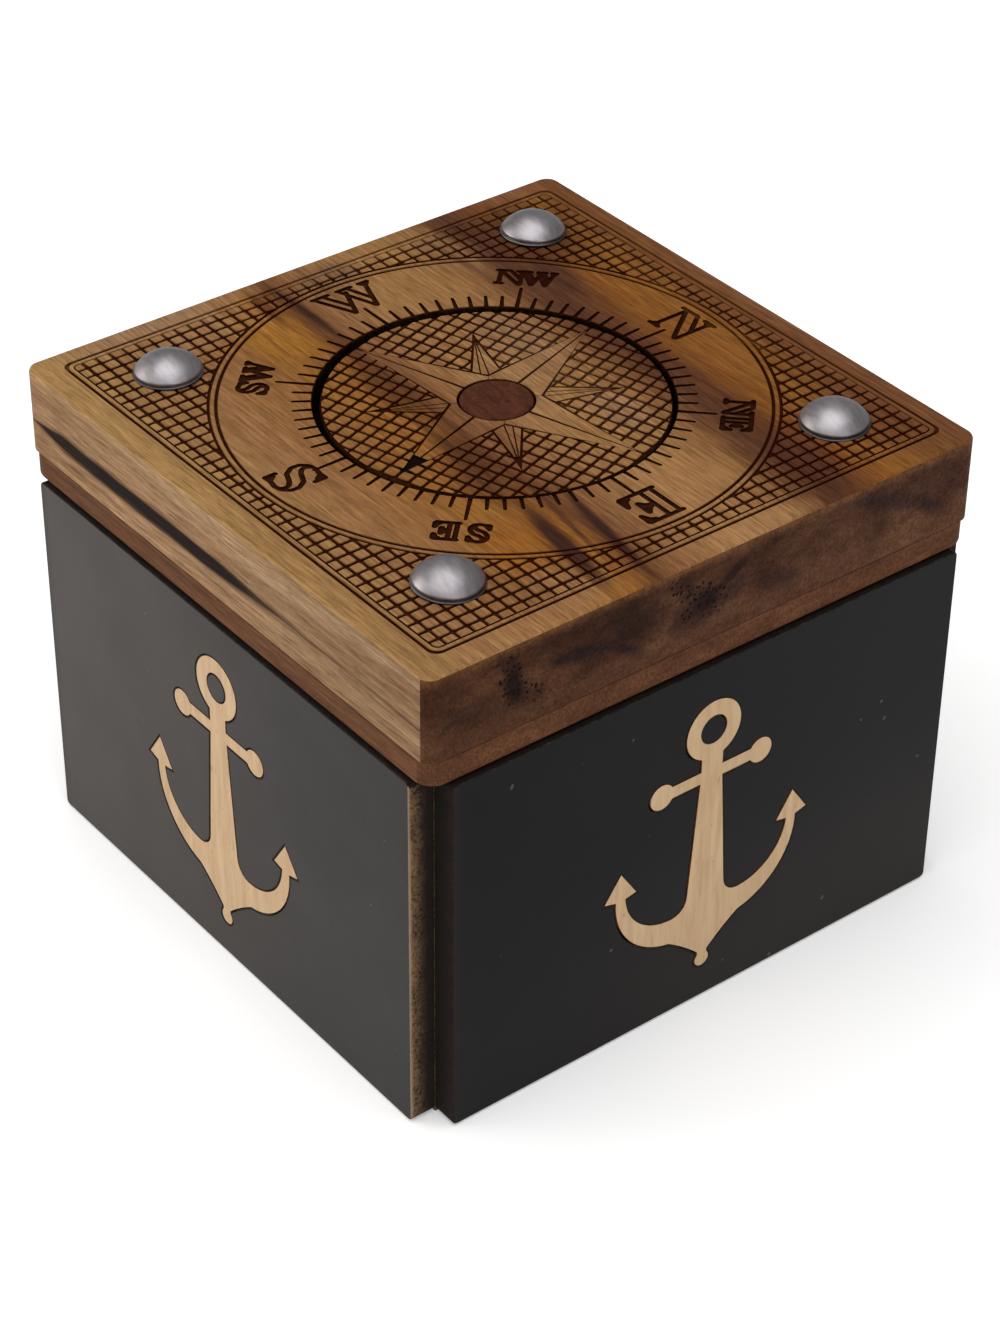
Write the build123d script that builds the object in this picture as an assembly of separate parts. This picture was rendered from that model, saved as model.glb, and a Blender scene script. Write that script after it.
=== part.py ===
from build123d import *
import math
import os

# Puzzle box with a compass dial on its lid and an anchor on each side panel.
# The origin is the bottom centre of the box, +Z is up, +Y is the dial's north, +X its east.
# All sizes are in millimetres.

# Carcass
carcass_width = 88.8
wall_thickness = 8.0
seat_height = 59.5
floor_thickness = 5.0
floor_rabbet = 3.0

# Side panels
panel_thickness = 4.0
panel_gap = 0.1
panel_foot_gap = 0.3
panel_top_gap = 0.3
panel_round = 0.8
panel_slide = 4.0

# Anchor inlay
inlay_depth = 2.4
kerf = 0.15
ring_height = 49.0
ring_radius = 5.0
ring_hole = 2.35
stock_height = 41.2
stock_thickness = 2.1
stock_reach = 9.1
stock_ball = 2.15
shank_top_half = 2.0
shank_foot_half = 3.5
crown_inner_radius = 8.9
crown_inner_centre = (6.2, 26.5)
arm_end_height = 25.9
arm_end_inner = 15.1
arm_end_outer = 16.9
arm_side = (13.2, 16.6)
crown_shoulder = (6.6, 13.1)
crown_hollow = (3.6, 10.9)
crown_neck = (0.95, 8.5)
tip_ball_height = 7.0
tip_ball = 1.35
fluke_tip = (16.05, 30.8)
fluke_outer = (19.0, 26.5)
fluke_inner = (13.1, 26.3)
anchor_scale = 0.974
anchor_lift = 0.5

# Runners that carry the panels
slide_clearance = 0.3
recess_depth = 3.0
plate_float = 0.2
lock_runner_start = 10.0
lock_runner_length = 14.0
lock_runner_drop = 8.5
runner_height = 4.0
runner_lip = 2.0
guide_runner_length = 36.0
guide_runner_lift = 13.0
tongue_length = 8.0
tongue_reach = 4.5

# Lid
lid_inset = 1.0
lid_shift = (0.4, -0.6)
lid_corner = 2.0
plate_thickness = 4.1
plate_corner = 3.0
plate_round = 0.6
slab_thickness = 13.4
slab_softening = 0.4
carrier_depth = 12.0
carrier_clearance = 0.3
carrier_corner = 1.5

# Compass dial
dial_radius = 24.7
dial_thickness = 4.5
dial_drop = 0.3
dial_groove = 0.9
well_shift = (-0.2, -0.3)
washer_thickness = 0.5
washer_inner = 6.0
washer_outer = 12.0
hub_radius = 5.25
hub_gap = 0.15
hub_proud = 0.1
hub_socket = 3.0
shaft_radius = 4.0
running_clearance = 0.08

# Cam and bolts
cam_thickness = 3.0
cam_clearance = 0.3
cam_radius = 22.5
turn_back = 18.0
turn_on = 72.0
throw_back = 1.2
throw_on = 4.8
pin_radius = 1.5
pin_place = 14.0
pin_seat = 3.0
pin_top_gap = 0.2
cam_slot_gap = 0.3
spiral_points = 9
bolt_width = 8.0
bolt_height = 4.4
bolt_inner_end = 10.0
bolt_setback = 0.5
bolt_float = 0.3
mortise_gap = 0.6

# Screws and nails
cam_screw_head = 3.6
cam_screw_height = 2.0
cam_screw_shank = 1.5
cam_screw_length = 9.0
nail_insets = [(15.8, 15.3), (14.6, 13.6), (12.8, 13.3), (13.9, 15.3)]
nail_radius = 5.1
nail_height = 3.4
nail_rim = 0.5
nail_shank = 0.9
nail_length = 11.0
screw_inset = 7.6
screw_head = 3.0
screw_head_height = 2.2
screw_shank = 1.4
screw_grip = 3.4
screw_well = 0.4
slot_width = 0.8
slot_depth = 0.8

# Sizes that follow
carcass_half = carcass_width / 2
inner_half = carcass_half - wall_thickness
panel_back = carcass_half + panel_gap
panel_face = panel_back + panel_thickness
panel_top = seat_height - panel_top_gap
carrier_half = inner_half - carrier_clearance
screw_place = carrier_half - screw_inset
lid_half = panel_face - lid_inset
lock_runner_lift = seat_height - lock_runner_drop
carrier_bottom = seat_height - carrier_depth
slab_bottom = seat_height + plate_thickness
lid_top = slab_bottom + slab_thickness
dial_top = lid_top - dial_drop
dial_bottom = dial_top - dial_thickness
dial_well_floor = dial_bottom - washer_thickness
dial_well_radius = dial_radius + dial_groove
cam_top = seat_height - cam_clearance
cam_bottom = cam_top - cam_thickness
cam_well_floor = cam_bottom - cam_clearance
channel_half = bolt_width / 2 + bolt_float
channel_bottom = cam_well_floor - bolt_height - 2 * bolt_float
bolt_bottom = channel_bottom + bolt_float
bolt_top = bolt_bottom + bolt_height
bolt_tip = carrier_half - bolt_setback
mortise_end = bolt_tip + throw_on + mortise_gap
recess_floor = inner_half + recess_depth
runner_inner_face = inner_half + plate_float
sides = ["south", "east", "north", "west"]

parts = {}


def block(x0, x1, y0, y1, z0, z1):
    """A box between two corners."""
    size = Box(x1 - x0, y1 - y0, z1 - z0)
    return Pos((x0 + x1) / 2, (y0 + y1) / 2, (z0 + z1) / 2) * size


def rod(radius, z0, z1, x=0.0, y=0.0):
    """An upright cylinder between two heights."""
    return Pos(x, y, (z0 + z1) / 2) * Cylinder(radius, z1 - z0)


def rounded_slab(half, corner, z0, z1):
    """A square board with rounded upright corners."""
    outline = RectangleRounded(2 * half, 2 * half, corner)
    return Pos(0, 0, z0) * extrude(outline, z1 - z0)


def outer_block(s0, s1, n0, n1, z0, z1):
    """A box on the south side: s runs east along the wall and n outward from the centre."""
    return block(s0, s1, -n1, -n0, z0, z1)


# Anchor outline
def anchor_half():
    """The east half of the anchor's lower part, from the shank down to the crown's tip."""
    inner_x, inner_z = crown_inner_centre
    low = (inner_x, inner_z - crown_inner_radius)
    side_angle = math.radians(-45)
    side = (
        inner_x + crown_inner_radius * math.cos(side_angle),
        inner_z + crown_inner_radius * math.sin(side_angle),
    )
    fillet_radius = low[0] - shank_foot_half
    fillet_mid = (
        low[0] - fillet_radius * math.cos(math.pi / 4),
        low[1] + fillet_radius - fillet_radius * math.sin(math.pi / 4),
    )
    fillet_top = (shank_foot_half, low[1] + fillet_radius)
    arm_inner = (arm_end_inner, arm_end_height)
    arm_outer = (arm_end_outer, arm_end_height)
    edges = [
        Line((0, stock_height), (shank_top_half, stock_height)),
        Line((shank_top_half, stock_height), fillet_top),
        ThreePointArc(fillet_top, fillet_mid, low),
        ThreePointArc(low, side, arm_inner),
        Line(arm_inner, fluke_inner),
        Line(fluke_inner, fluke_tip),
        Line(fluke_tip, fluke_outer),
        Line(fluke_outer, arm_outer),
        ThreePointArc(arm_outer, arm_side, crown_shoulder),
        ThreePointArc(crown_shoulder, crown_hollow, crown_neck),
        Line(crown_neck, (crown_neck[0], tip_ball_height)),
        Line((crown_neck[0], tip_ball_height), (0, tip_ball_height)),
        Line((0, tip_ball_height), (0, stock_height)),
    ]
    return make_face(Wire(edges))


def anchor_outline():
    """The whole anchor, drawn with x along the wall and y as height."""
    half = anchor_half()
    outline = half + mirror(half, about=Plane.YZ)
    shank_height = ring_height - stock_height
    outline += Pos(0, stock_height + shank_height / 2) * Rectangle(2 * shank_top_half, shank_height)
    outline += Pos(0, stock_height) * Rectangle(2 * stock_reach, stock_thickness)
    for end in (-stock_reach, stock_reach):
        outline += Pos(end, stock_height) * Circle(stock_ball)
    outline += Pos(0, ring_height) * Circle(ring_radius)
    outline += Pos(0, tip_ball_height) * Circle(tip_ball)
    outline -= Pos(0, ring_height) * Circle(ring_hole)
    return Pos(0, anchor_lift) * scale(outline, by=anchor_scale)


def anchor_solid(outline, depth):
    """The outline cut into the south panel's face to a depth."""
    face_plane = Plane(origin=(0, -panel_face, 0), x_dir=(1, 0, 0), z_dir=(0, -1, 0))
    return extrude(face_plane * outline, -depth)


# Panel, inlay and runners of the south side
def side_panel():
    panel = outer_block(
        -carcass_half, carcass_half, panel_back, panel_face, panel_foot_gap, panel_top
    )
    panel = fillet(panel.edges().filter_by(Axis.Y), panel_round)
    pocket = offset(anchor_outline(), kerf)
    return panel - anchor_solid(pocket, inlay_depth)


def side_anchor():
    return anchor_solid(anchor_outline(), inlay_depth)


def runner(s0, length, lift, tongue):
    """A neck through the wall with a plate behind it, and a tongue into the lid's carrier."""
    top = lift + runner_height
    body = outer_block(s0, s0 + length, recess_floor - plate_float, panel_back, lift, top)
    body += outer_block(
        s0 - runner_lip,
        s0 + length + runner_lip,
        runner_inner_face,
        recess_floor - plate_float,
        lift - runner_lip,
        top + runner_lip,
    )
    if tongue:
        middle = s0 + length / 2
        body += outer_block(
            middle - tongue_length / 2,
            middle + tongue_length / 2,
            carrier_half - tongue_reach,
            runner_inner_face,
            lift,
            top,
        )
    return body


def runner_space(s0, length, lift):
    """The window and the inner recess that a runner slides in."""
    top = lift + runner_height
    gap = slide_clearance
    window = outer_block(
        s0 - gap, s0 + length + panel_slide + gap, inner_half, carcass_half, lift - gap, top + gap
    )
    recess = outer_block(
        s0 - runner_lip - gap,
        s0 + length + runner_lip + panel_slide + gap,
        inner_half,
        recess_floor,
        lift - runner_lip - gap,
        top + runner_lip + gap,
    )
    return window + recess


def guide_runner_start():
    return -(guide_runner_length + panel_slide) / 2


def side_wall():
    """The south wall runs from the west outer face to the east wall's inner face."""
    wall = outer_block(-carcass_half, inner_half, inner_half, carcass_half, 0, seat_height)
    wall -= runner_space(lock_runner_start, lock_runner_length, lock_runner_lift)
    wall -= runner_space(guide_runner_start(), guide_runner_length, guide_runner_lift)
    wall -= outer_block(
        -channel_half, channel_half, inner_half, mortise_end, channel_bottom, cam_well_floor
    )
    return wall - floor_board()


# Lid pieces
def lid_board(corner, z0, z1):
    """One board of the lid, trimmed a little off the dial's centre."""
    return Pos(*lid_shift, 0) * rounded_slab(lid_half, corner, z0, z1)


def carrier():
    """The block under the lid that holds the cam and the bolts."""
    body = rounded_slab(carrier_half, carrier_corner, carrier_bottom, seat_height)
    body -= rod(cam_radius + cam_clearance, cam_well_floor, seat_height)
    body -= rod(bolt_inner_end - throw_back - bolt_float, channel_bottom, cam_well_floor)
    gap = slide_clearance
    tongue_end = carrier_half - tongue_reach - gap
    tongue_middle = lock_runner_start + lock_runner_length / 2
    entry_start = tongue_middle - tongue_length / 2 - gap
    entry_end = tongue_middle + tongue_length / 2 + gap
    tongue_top = lock_runner_lift + runner_height + gap
    for index in range(len(sides)):
        turn = Rot(0, 0, 90 * index)
        channel = outer_block(
            -channel_half, channel_half, 0, carrier_half, channel_bottom, cam_well_floor
        )
        entry = outer_block(entry_start, entry_end, tongue_end, carrier_half, carrier_bottom, tongue_top)
        lock = outer_block(
            entry_start,
            entry_end + panel_slide,
            tongue_end,
            carrier_half,
            lock_runner_lift - gap,
            tongue_top,
        )
        body -= turn * (channel + entry + lock)
        well = rod(
            screw_head + screw_well,
            carrier_bottom,
            carrier_bottom + screw_head_height + screw_well,
            screw_place,
            screw_place,
        )
        hole = rod(screw_shank, carrier_bottom, seat_height, screw_place, screw_place)
        body -= turn * (well + hole)
    return body


def lid_plate():
    plate = lid_board(plate_corner, seat_height, slab_bottom)
    plate = fillet(plate.faces().sort_by(Axis.Z)[0].edges(), plate_round)
    plate -= rod(shaft_radius + running_clearance, seat_height, slab_bottom)
    for index in range(len(sides)):
        hole = rod(screw_shank, seat_height, seat_height + screw_grip, screw_place, screw_place)
        plate -= Rot(0, 0, 90 * index) * hole
    return plate


def lid_slab():
    slab = lid_board(lid_corner, slab_bottom, lid_top)
    slab = fillet(slab.faces().sort_by(Axis.Z)[-1].edges(), slab_softening)
    slab -= rod(dial_well_radius, dial_well_floor, lid_top, *well_shift)
    slab -= rod(shaft_radius + running_clearance, slab_bottom, dial_well_floor)
    for x, y in nail_places():
        slab -= rod(nail_shank, lid_top - nail_length, lid_top, x, y)
    return slab


def nail_places():
    """Where the nails stand, from the corner at south-east round through north-east."""
    corners = [(1, -1), (1, 1), (-1, 1), (-1, -1)]
    centre_x, centre_y = lid_shift
    return [
        (centre_x + side_x * (lid_half - inset_x), centre_y + side_y * (lid_half - inset_y))
        for (side_x, side_y), (inset_x, inset_y) in zip(corners, nail_insets)
    ]


def corner_nail(x, y):
    """A domed nail: a spherical cap on a thin flange, with a round shank."""
    rise = nail_height - nail_rim
    sphere_radius = (nail_radius**2 + rise**2) / (2 * rise)
    dome = Pos(x, y, lid_top + nail_height - sphere_radius) * Sphere(sphere_radius)
    dome = dome & rod(nail_radius, lid_top + nail_rim, lid_top + 2 * nail_height, x, y)
    rim = rod(nail_radius, lid_top, lid_top + nail_rim, x, y)
    shank = rod(nail_shank, lid_top - nail_length, lid_top, x, y)
    return dome + rim + shank


def carrier_screw():
    """A slotted screw that holds the carrier up to the lid's lower plate."""
    head_top = carrier_bottom + screw_well + screw_head_height
    head = rod(screw_head, head_top - screw_head_height, head_top, screw_place, screw_place)
    shank = rod(screw_shank, head_top, seat_height + screw_grip, screw_place, screw_place)
    slot = block(
        screw_place - screw_head,
        screw_place + screw_head,
        screw_place - slot_width / 2,
        screw_place + slot_width / 2,
        carrier_bottom,
        head_top - screw_head_height + slot_depth,
    )
    return head + shank - slot


# Dial pieces
def compass_disc():
    disc = rod(dial_radius, dial_bottom, dial_top)
    return disc - rod(hub_radius + hub_gap, dial_bottom, dial_top)


def hub_plug():
    plug = rod(hub_radius, dial_bottom, dial_top + hub_proud)
    return plug - rod(shaft_radius, dial_bottom, dial_bottom + hub_socket)


def dial_shaft():
    shaft = rod(shaft_radius, cam_bottom, dial_bottom + hub_socket)
    return shaft - rod(cam_screw_shank, cam_bottom, cam_bottom + cam_screw_length)


def dial_washer():
    return rod(washer_outer, dial_well_floor, dial_bottom) - rod(
        washer_inner, dial_well_floor, dial_bottom
    )


def spiral_point(turned, shift):
    """Where the south bolt's pin meets the cam after a turn in degrees, moved outward by a shift."""
    growth = (throw_back + throw_on) / math.radians(turn_back + turn_on)
    radius = pin_place + growth * math.radians(turned) + shift
    angle = math.radians(-90 - turned)
    return (radius * math.cos(angle), radius * math.sin(angle))


def spiral_slot():
    """The slot that drives the south bolt: its radius grows evenly with the angle."""
    growth = (throw_back + throw_on) / math.radians(turn_back + turn_on)
    reach = (pin_radius + cam_slot_gap) * math.hypot(1, growth / pin_place)
    step = (turn_back + turn_on) / (spiral_points - 1)
    turns = [-turn_back + step * index for index in range(spiral_points)]
    inner = [spiral_point(turned, -reach) for turned in turns]
    outer = [spiral_point(turned, reach) for turned in turns]
    edges = [
        Spline(*inner),
        Line(inner[-1], outer[-1]),
        Spline(*outer),
        Line(outer[0], inner[0]),
    ]
    outline = make_face(Wire(edges))
    for turned in (-turn_back, turn_on):
        outline += Pos(*spiral_point(turned, 0)) * Circle(reach)
    return Pos(0, 0, cam_bottom) * extrude(outline, cam_thickness)


def cam_plate():
    """The cam turns with the shaft, glued around its lower end."""
    plate = rod(cam_radius, cam_bottom, cam_top) - rod(shaft_radius, cam_bottom, cam_top)
    slot = spiral_slot()
    for index in range(len(sides)):
        plate -= Rot(0, 0, 90 * index) * slot
    return plate


def cam_screw():
    head = rod(cam_screw_head, cam_bottom - cam_screw_height, cam_bottom)
    shank = rod(cam_screw_shank, cam_bottom, cam_bottom + cam_screw_length)
    slot = block(
        -cam_screw_head,
        cam_screw_head,
        -slot_width / 2,
        slot_width / 2,
        cam_bottom - cam_screw_height,
        cam_bottom - cam_screw_height + slot_depth,
    )
    return head + shank - slot


# Bolts
def bolt():
    bar = outer_block(
        -bolt_width / 2, bolt_width / 2, bolt_inner_end, bolt_tip, bolt_bottom, bolt_top
    )
    return bar - rod(pin_radius, bolt_top - pin_seat, bolt_top, 0, -pin_place)


def bolt_pin():
    return rod(pin_radius, bolt_top - pin_seat, cam_top - pin_top_gap, 0, -pin_place)


# Floor
def floor_board():
    """The floor lies in a rabbet round the foot of the walls."""
    half = inner_half + floor_rabbet
    return block(-half, half, -half, half, 0, floor_thickness)


parts["floor_board"] = floor_board()
parts["lid_slab"] = lid_slab()
parts["lid_plate"] = lid_plate()
parts["bolt_carrier"] = carrier()
parts["compass_disc"] = compass_disc()
parts["hub_plug"] = hub_plug()
parts["dial_shaft"] = dial_shaft()
parts["dial_washer"] = dial_washer()
parts["cam_plate"] = cam_plate()
parts["cam_screw"] = cam_screw()

side_pieces = {
    "wall": side_wall(),
    "panel": side_panel(),
    "anchor": side_anchor(),
    "lock_runner": runner(lock_runner_start, lock_runner_length, lock_runner_lift, True),
    "guide_runner": runner(guide_runner_start(), guide_runner_length, guide_runner_lift, False),
    "bolt": bolt(),
    "bolt_pin": bolt_pin(),
}
for index, side in enumerate(sides):
    for piece, shape in side_pieces.items():
        parts[f"{piece}_{side}"] = Rot(0, 0, 90 * index) * shape

for index, (nail_x, nail_y) in enumerate(nail_places()):
    parts[f"corner_nail_{index + 1}"] = corner_nail(nail_x, nail_y)
    parts[f"carrier_screw_{index + 1}"] = Rot(0, 0, 90 * index) * carrier_screw()

os.makedirs("parts", exist_ok=True)
for name, shape in parts.items():
    export_step(shape, f"parts/{name}.step")
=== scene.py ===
import math

import bmesh
import bpy
from mathutils import Matrix, Vector
from mathutils.geometry import tessellate_polygon


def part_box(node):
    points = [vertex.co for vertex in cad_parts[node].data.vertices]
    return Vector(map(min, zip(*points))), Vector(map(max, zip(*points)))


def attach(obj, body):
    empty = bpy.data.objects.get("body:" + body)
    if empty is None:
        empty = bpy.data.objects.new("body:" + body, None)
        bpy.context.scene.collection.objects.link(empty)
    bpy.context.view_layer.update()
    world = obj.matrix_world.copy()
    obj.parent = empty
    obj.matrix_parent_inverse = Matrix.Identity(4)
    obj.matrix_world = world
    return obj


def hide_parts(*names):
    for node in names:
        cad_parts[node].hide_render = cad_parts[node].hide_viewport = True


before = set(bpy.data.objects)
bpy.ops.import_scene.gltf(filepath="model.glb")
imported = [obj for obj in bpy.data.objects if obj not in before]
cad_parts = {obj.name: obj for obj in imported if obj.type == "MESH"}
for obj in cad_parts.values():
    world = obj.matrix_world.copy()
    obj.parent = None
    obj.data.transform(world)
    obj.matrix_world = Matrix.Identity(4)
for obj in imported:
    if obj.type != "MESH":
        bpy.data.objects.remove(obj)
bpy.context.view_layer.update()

# Box carcass.
# Four walls of sealed fibreboard stand pinwheel-wise round a rabbeted floor board.
# The boards were cut by laser, so their edges in the corner notches are scorched brown; on the side
# panels the notched end is also darkened with painted shade.
mm = 0.001
sides = ("south", "east", "north", "west")


def tone(red, green, blue):
    """A colour as it looks, from 0 to 255, turned into linear light."""
    parts = (red / 255, green / 255, blue / 255)
    return tuple(v / 12.92 if v <= 0.04045 else ((v + 0.055) / 1.055) ** 2.4 for v in parts) + (1.0,)


def add_node(tree, kind, inputs, settings):
    """A node with its settings, and with its inputs set or joined."""
    node = tree.nodes.new(kind)
    for key, value in settings.items():
        setattr(node, key, value)
    for key, value in (inputs or {}).items():
        if isinstance(value, bpy.types.NodeSocket):
            tree.links.new(value, node.inputs[key])
        else:
            node.inputs[key].default_value = value
    return node


class Finish:
    """A material whose pattern is laid out in millimetres of the object's own space."""

    def __init__(self, name, roughness=0.5, specular=0.5):
        self.material = bpy.data.materials.new(name)
        self.material.use_nodes = True
        self.tree = self.material.node_tree
        self.shader = self.tree.nodes["Principled BSDF"]
        self.shader.inputs["Roughness"].default_value = roughness
        self.shader.inputs["Specular IOR Level"].default_value = specular
        place = self.add("ShaderNodeTexCoord").outputs["Object"]
        scaled = self.add("ShaderNodeVectorMath", {0: place, "Scale": 1 / mm}, operation="SCALE")
        self.place = scaled.outputs[0]
        axes = self.add("ShaderNodeSeparateXYZ", {0: self.place}).outputs
        self.x, self.y, self.z = axes[0], axes[1], axes[2]

    def add(self, kind, inputs=None, **settings):
        return add_node(self.tree, kind, inputs, settings)

    def calc(self, operation, first, second=0.0, third=0.0):
        """Arithmetic on numbers."""
        return self.add("ShaderNodeMath", {0: first, 1: second, 2: third}, operation=operation).outputs[0]

    def spread(self, value, low, high, to_low=0.0, to_high=1.0):
        """A number taken smoothly from one range to another, and held at its ends."""
        inputs = {"Value": value, 1: low, 2: high, 3: to_low, 4: to_high}
        return self.add("ShaderNodeMapRange", inputs, interpolation_type="SMOOTHSTEP").outputs[0]

    def mapped(self, shift, turn, scale, kind="POINT"):
        """The place on the piece, moved, turned and scaled."""
        inputs = {"Vector": self.place, "Location": shift, "Rotation": turn, "Scale": scale}
        return self.add("ShaderNodeMapping", inputs, vector_type=kind).outputs[0]

    def noise(self, stretch, detail=4.0, rough=0.55, shift=(0, 0, 0), turn=(0, 0, 0)):
        """Noise with its cycles per millimetre along each axis."""
        vector = self.mapped(shift, turn, stretch)
        inputs = {"Vector": vector, "Scale": 1.0, "Detail": detail, "Roughness": rough}
        return self.add("ShaderNodeTexNoise", inputs).outputs[0]

    def ramp(self, value, stops):
        """A colour for each value, from a list of places and colours."""
        node = self.add("ShaderNodeValToRGB", {0: value})
        elements = node.color_ramp.elements
        while len(elements) < len(stops):
            elements.new(0.5)
        for element, (position, colour) in zip(elements, stops):
            element.position = position
            element.color = colour
        return node.outputs[0]

    def mix(self, factor, first, second, blend="MIX"):
        """Two colours mixed."""
        inputs = {0: factor, 6: first, 7: second}
        return self.add("ShaderNodeMix", inputs, data_type="RGBA", blend_type=blend).outputs[2]

    def tint(self, colour, shade):
        """A colour multiplied by a shade."""
        return self.mix(1.0, colour, shade, "MULTIPLY")

    def stain(self, colour, mask, strength, hue):
        """A hue laid over a colour where a mask lets it through."""
        return self.mix(self.calc("MULTIPLY", mask, strength), colour, hue)

    def blob(self, centre, reach, ragged=0.0, noise=None, turn=(0, 0, 0)):
        """A soft ellipsoid mask: 1 in its middle and 0 outside its reach."""
        vector = self.mapped(centre, turn, reach, "TEXTURE")
        length = self.add("ShaderNodeVectorMath", {0: vector}, operation="LENGTH").outputs[1]
        if noise is not None:
            length = self.calc("MULTIPLY_ADD", noise, ragged, length)
            length = self.calc("SUBTRACT", length, ragged / 2)
        return self.spread(length, 0.25, 1.0, 1.0, 0.0)

    def paint(self, colour):
        self.tree.links.new(colour, self.shader.inputs["Base Color"])

    def rough(self, value):
        self.tree.links.new(value, self.shader.inputs["Roughness"])

    def done(self, colour, height, depth):
        """The finish in this colour, with relief from a height of 0 to 1 and its depth in millimetres."""
        self.paint(colour)
        node = self.add("ShaderNodeBump", {"Height": height, "Distance": depth * mm, "Strength": 1.0})
        self.tree.links.new(node.outputs[0], self.shader.inputs["Normal"])
        return self.material


def fibreboard(name, pale, dark, scorch=None, highlight=None):
    """Cut fibreboard: short tangled fibres, a few of them loose and pale."""
    board = Finish(name, roughness=0.85, specular=0.2)
    fuzz = board.noise((1.8, 1.8, 1.8), detail=8.0, rough=0.75)
    clumps = board.noise((0.35, 0.35, 0.35), detail=3.0)
    blend = board.calc("MULTIPLY_ADD", board.calc("SUBTRACT", fuzz, 0.5), 2.6, clumps)
    colour = board.ramp(blend, [(0.22, dark), (0.55, pale), (0.86, tuple(min(1, 1.5 * v) for v in pale))])
    if scorch is not None:
        colour = board.mix(scorch(board), colour, tone(24, 15, 11))
    # Painted highlight: a pale line along the cut edge's outer corner.
    if highlight is not None:
        colour = board.mix(highlight(board), colour, tone(158, 134, 114))
    return board.done(colour, blend, 0.12)


def dress(nodes, material):
    """Gives pieces whose plain shape is already right their finish."""
    for node in nodes:
        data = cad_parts[node].data
        data.materials.clear()
        data.materials.append(material)


carcass_board = fibreboard("carcass_board", tone(112, 84, 60), tone(62, 42, 30))
dress(["floor_board"] + [f"wall_{side}" for side in sides], carcass_board)


# Side panels.
# Each is a 4 mm fibreboard plate with a thin black satin skin on its outer face.
# An anchor-shaped pocket is cut in it by laser, which leaves the pocket's edge and the ends scorched; the
# end in the corner notch, the top edge and the pocket's floor are darkened further with painted shade.
def arc(centre, radius, start, end, count):
    """Points along an arc, with its angles in degrees."""
    turns = [math.radians(start + (end - start) * i / count) for i in range(count + 1)]
    return [(centre[0] + radius * math.cos(t), centre[1] + radius * math.sin(t)) for t in turns]


def bow(start, middle, end, count):
    """Points along the arc through three points."""
    (ax, ay), (bx, by), (cx, cy) = start, middle, end
    d = 2 * (ax * (by - cy) + bx * (cy - ay) + cx * (ay - by))
    a, b, c = ax * ax + ay * ay, bx * bx + by * by, cx * cx + cy * cy
    centre = (
        (a * (by - cy) + b * (cy - ay) + c * (ay - by)) / d,
        (a * (cx - bx) + b * (ax - cx) + c * (bx - ax)) / d,
    )
    radius = math.dist(centre, start)
    first = math.degrees(math.atan2(ay - centre[1], ax - centre[0]))
    last = math.degrees(math.atan2(cy - centre[1], cx - centre[0]))
    sweep = (last - first + 180) % 360 - 180
    return arc(centre, radius, first, first + sweep, count)


def inset(points, distance):
    """A loop moved to its left by a distance, so that a counter-clockwise one shrinks."""
    least_mitre = 0.4
    drawn_in = []
    for before, here, after in zip(points[-1:] + points[:-1], points, points[1:] + points[:1]):
        first = (Vector(here) - Vector(before)).normalized()
        second = (Vector(after) - Vector(here)).normalized()
        left = Vector((-first.y, first.x)) + Vector((-second.y, second.x))
        left /= max(1 + first.dot(second), least_mitre)
        drawn_in.append((here[0] + left.x * distance, here[1] + left.y * distance))
    return drawn_in


def moved(points, shift):
    """The same points, shifted."""
    return [(x + shift[0], y + shift[1]) for x, y in points]


def rounded_square(half_width, half_height, corner, steps=4):
    """A counter-clockwise square with round corners."""
    points = []
    for index, (x, y) in enumerate([(1, 1), (-1, 1), (-1, -1), (1, -1)]):
        middle = (x * (half_width - corner), y * (half_height - corner))
        points += arc(middle, corner, 90 * index, 90 * index + 90, steps)
    return points


def put_in(name, data):
    """A new object in the scene."""
    thing = bpy.data.objects.new(name, data)
    bpy.context.collection.objects.link(thing)
    return thing


class Shell:
    """Builds a piece from loops of points at given heights, in millimetres."""

    def __init__(self):
        self.mesh = bmesh.new()

    def loop(self, points, height):
        return [self.mesh.verts.new((x * mm, y * mm, height * mm)) for x, y in points]

    def band(self, lower, upper, slot):
        """The strip between two loops. It faces to the right of the way they run."""
        count = len(lower)
        for i in range(count):
            j = (i + 1) % count
            face = self.mesh.faces.new((lower[i], lower[j], upper[j], upper[i]))
            face.material_index = slot

    def cap(self, loops, slot, up=True):
        """A flat face bounded by an outline and its holes."""
        verts = [vert for loop in loops for vert in loop]
        for corners in tessellate_polygon([[vert.co for vert in loop] for loop in loops]):
            a, b, c = [verts[i] for i in corners]
            rises = (b.co - a.co).cross(c.co - a.co).z > 0
            face = self.mesh.faces.new((a, b, c) if rises == up else (c, b, a))
            face.material_index = slot

    def board(self, loops, low, high, edge, top=0, rim=1, wall=2):
        """A closed plate with eased upper edges. Holes run clockwise."""
        crowns = []
        feet = []
        for points in loops:
            foot = self.loop(points, low)
            shoulder = self.loop(points, high - edge)
            crown = self.loop(inset(points, edge), high)
            self.band(foot, shoulder, wall)
            self.band(shoulder, crown, rim)
            crowns.append(crown)
            feet.append(foot)
        self.cap(crowns, top)
        self.cap(feet, wall, up=False)

    def stack(self, outlines, slots):
        """Bands from outline to outline, each with its height. It gives the first and last loops."""
        loops = [self.loop(points, height) for points, height in outlines]
        for lower, upper, slot in zip(loops, loops[1:], slots):
            self.band(lower, upper, slot)
        return loops[0], loops[-1]

    def finish(self, name, materials, matrix=None):
        """The piece as an object at the origin."""
        data = bpy.data.meshes.new(name)
        self.mesh.to_mesh(data)
        self.mesh.free()
        if matrix is not None:
            data.transform(matrix)
        for material in materials:
            data.materials.append(material)
        return put_in(name, data)


def install(piece, body, slot, *nodes):
    """Sets a piece on its body in place of the nodes that it stands for."""
    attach(piece, body)
    if nodes:
        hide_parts(*nodes)


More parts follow.
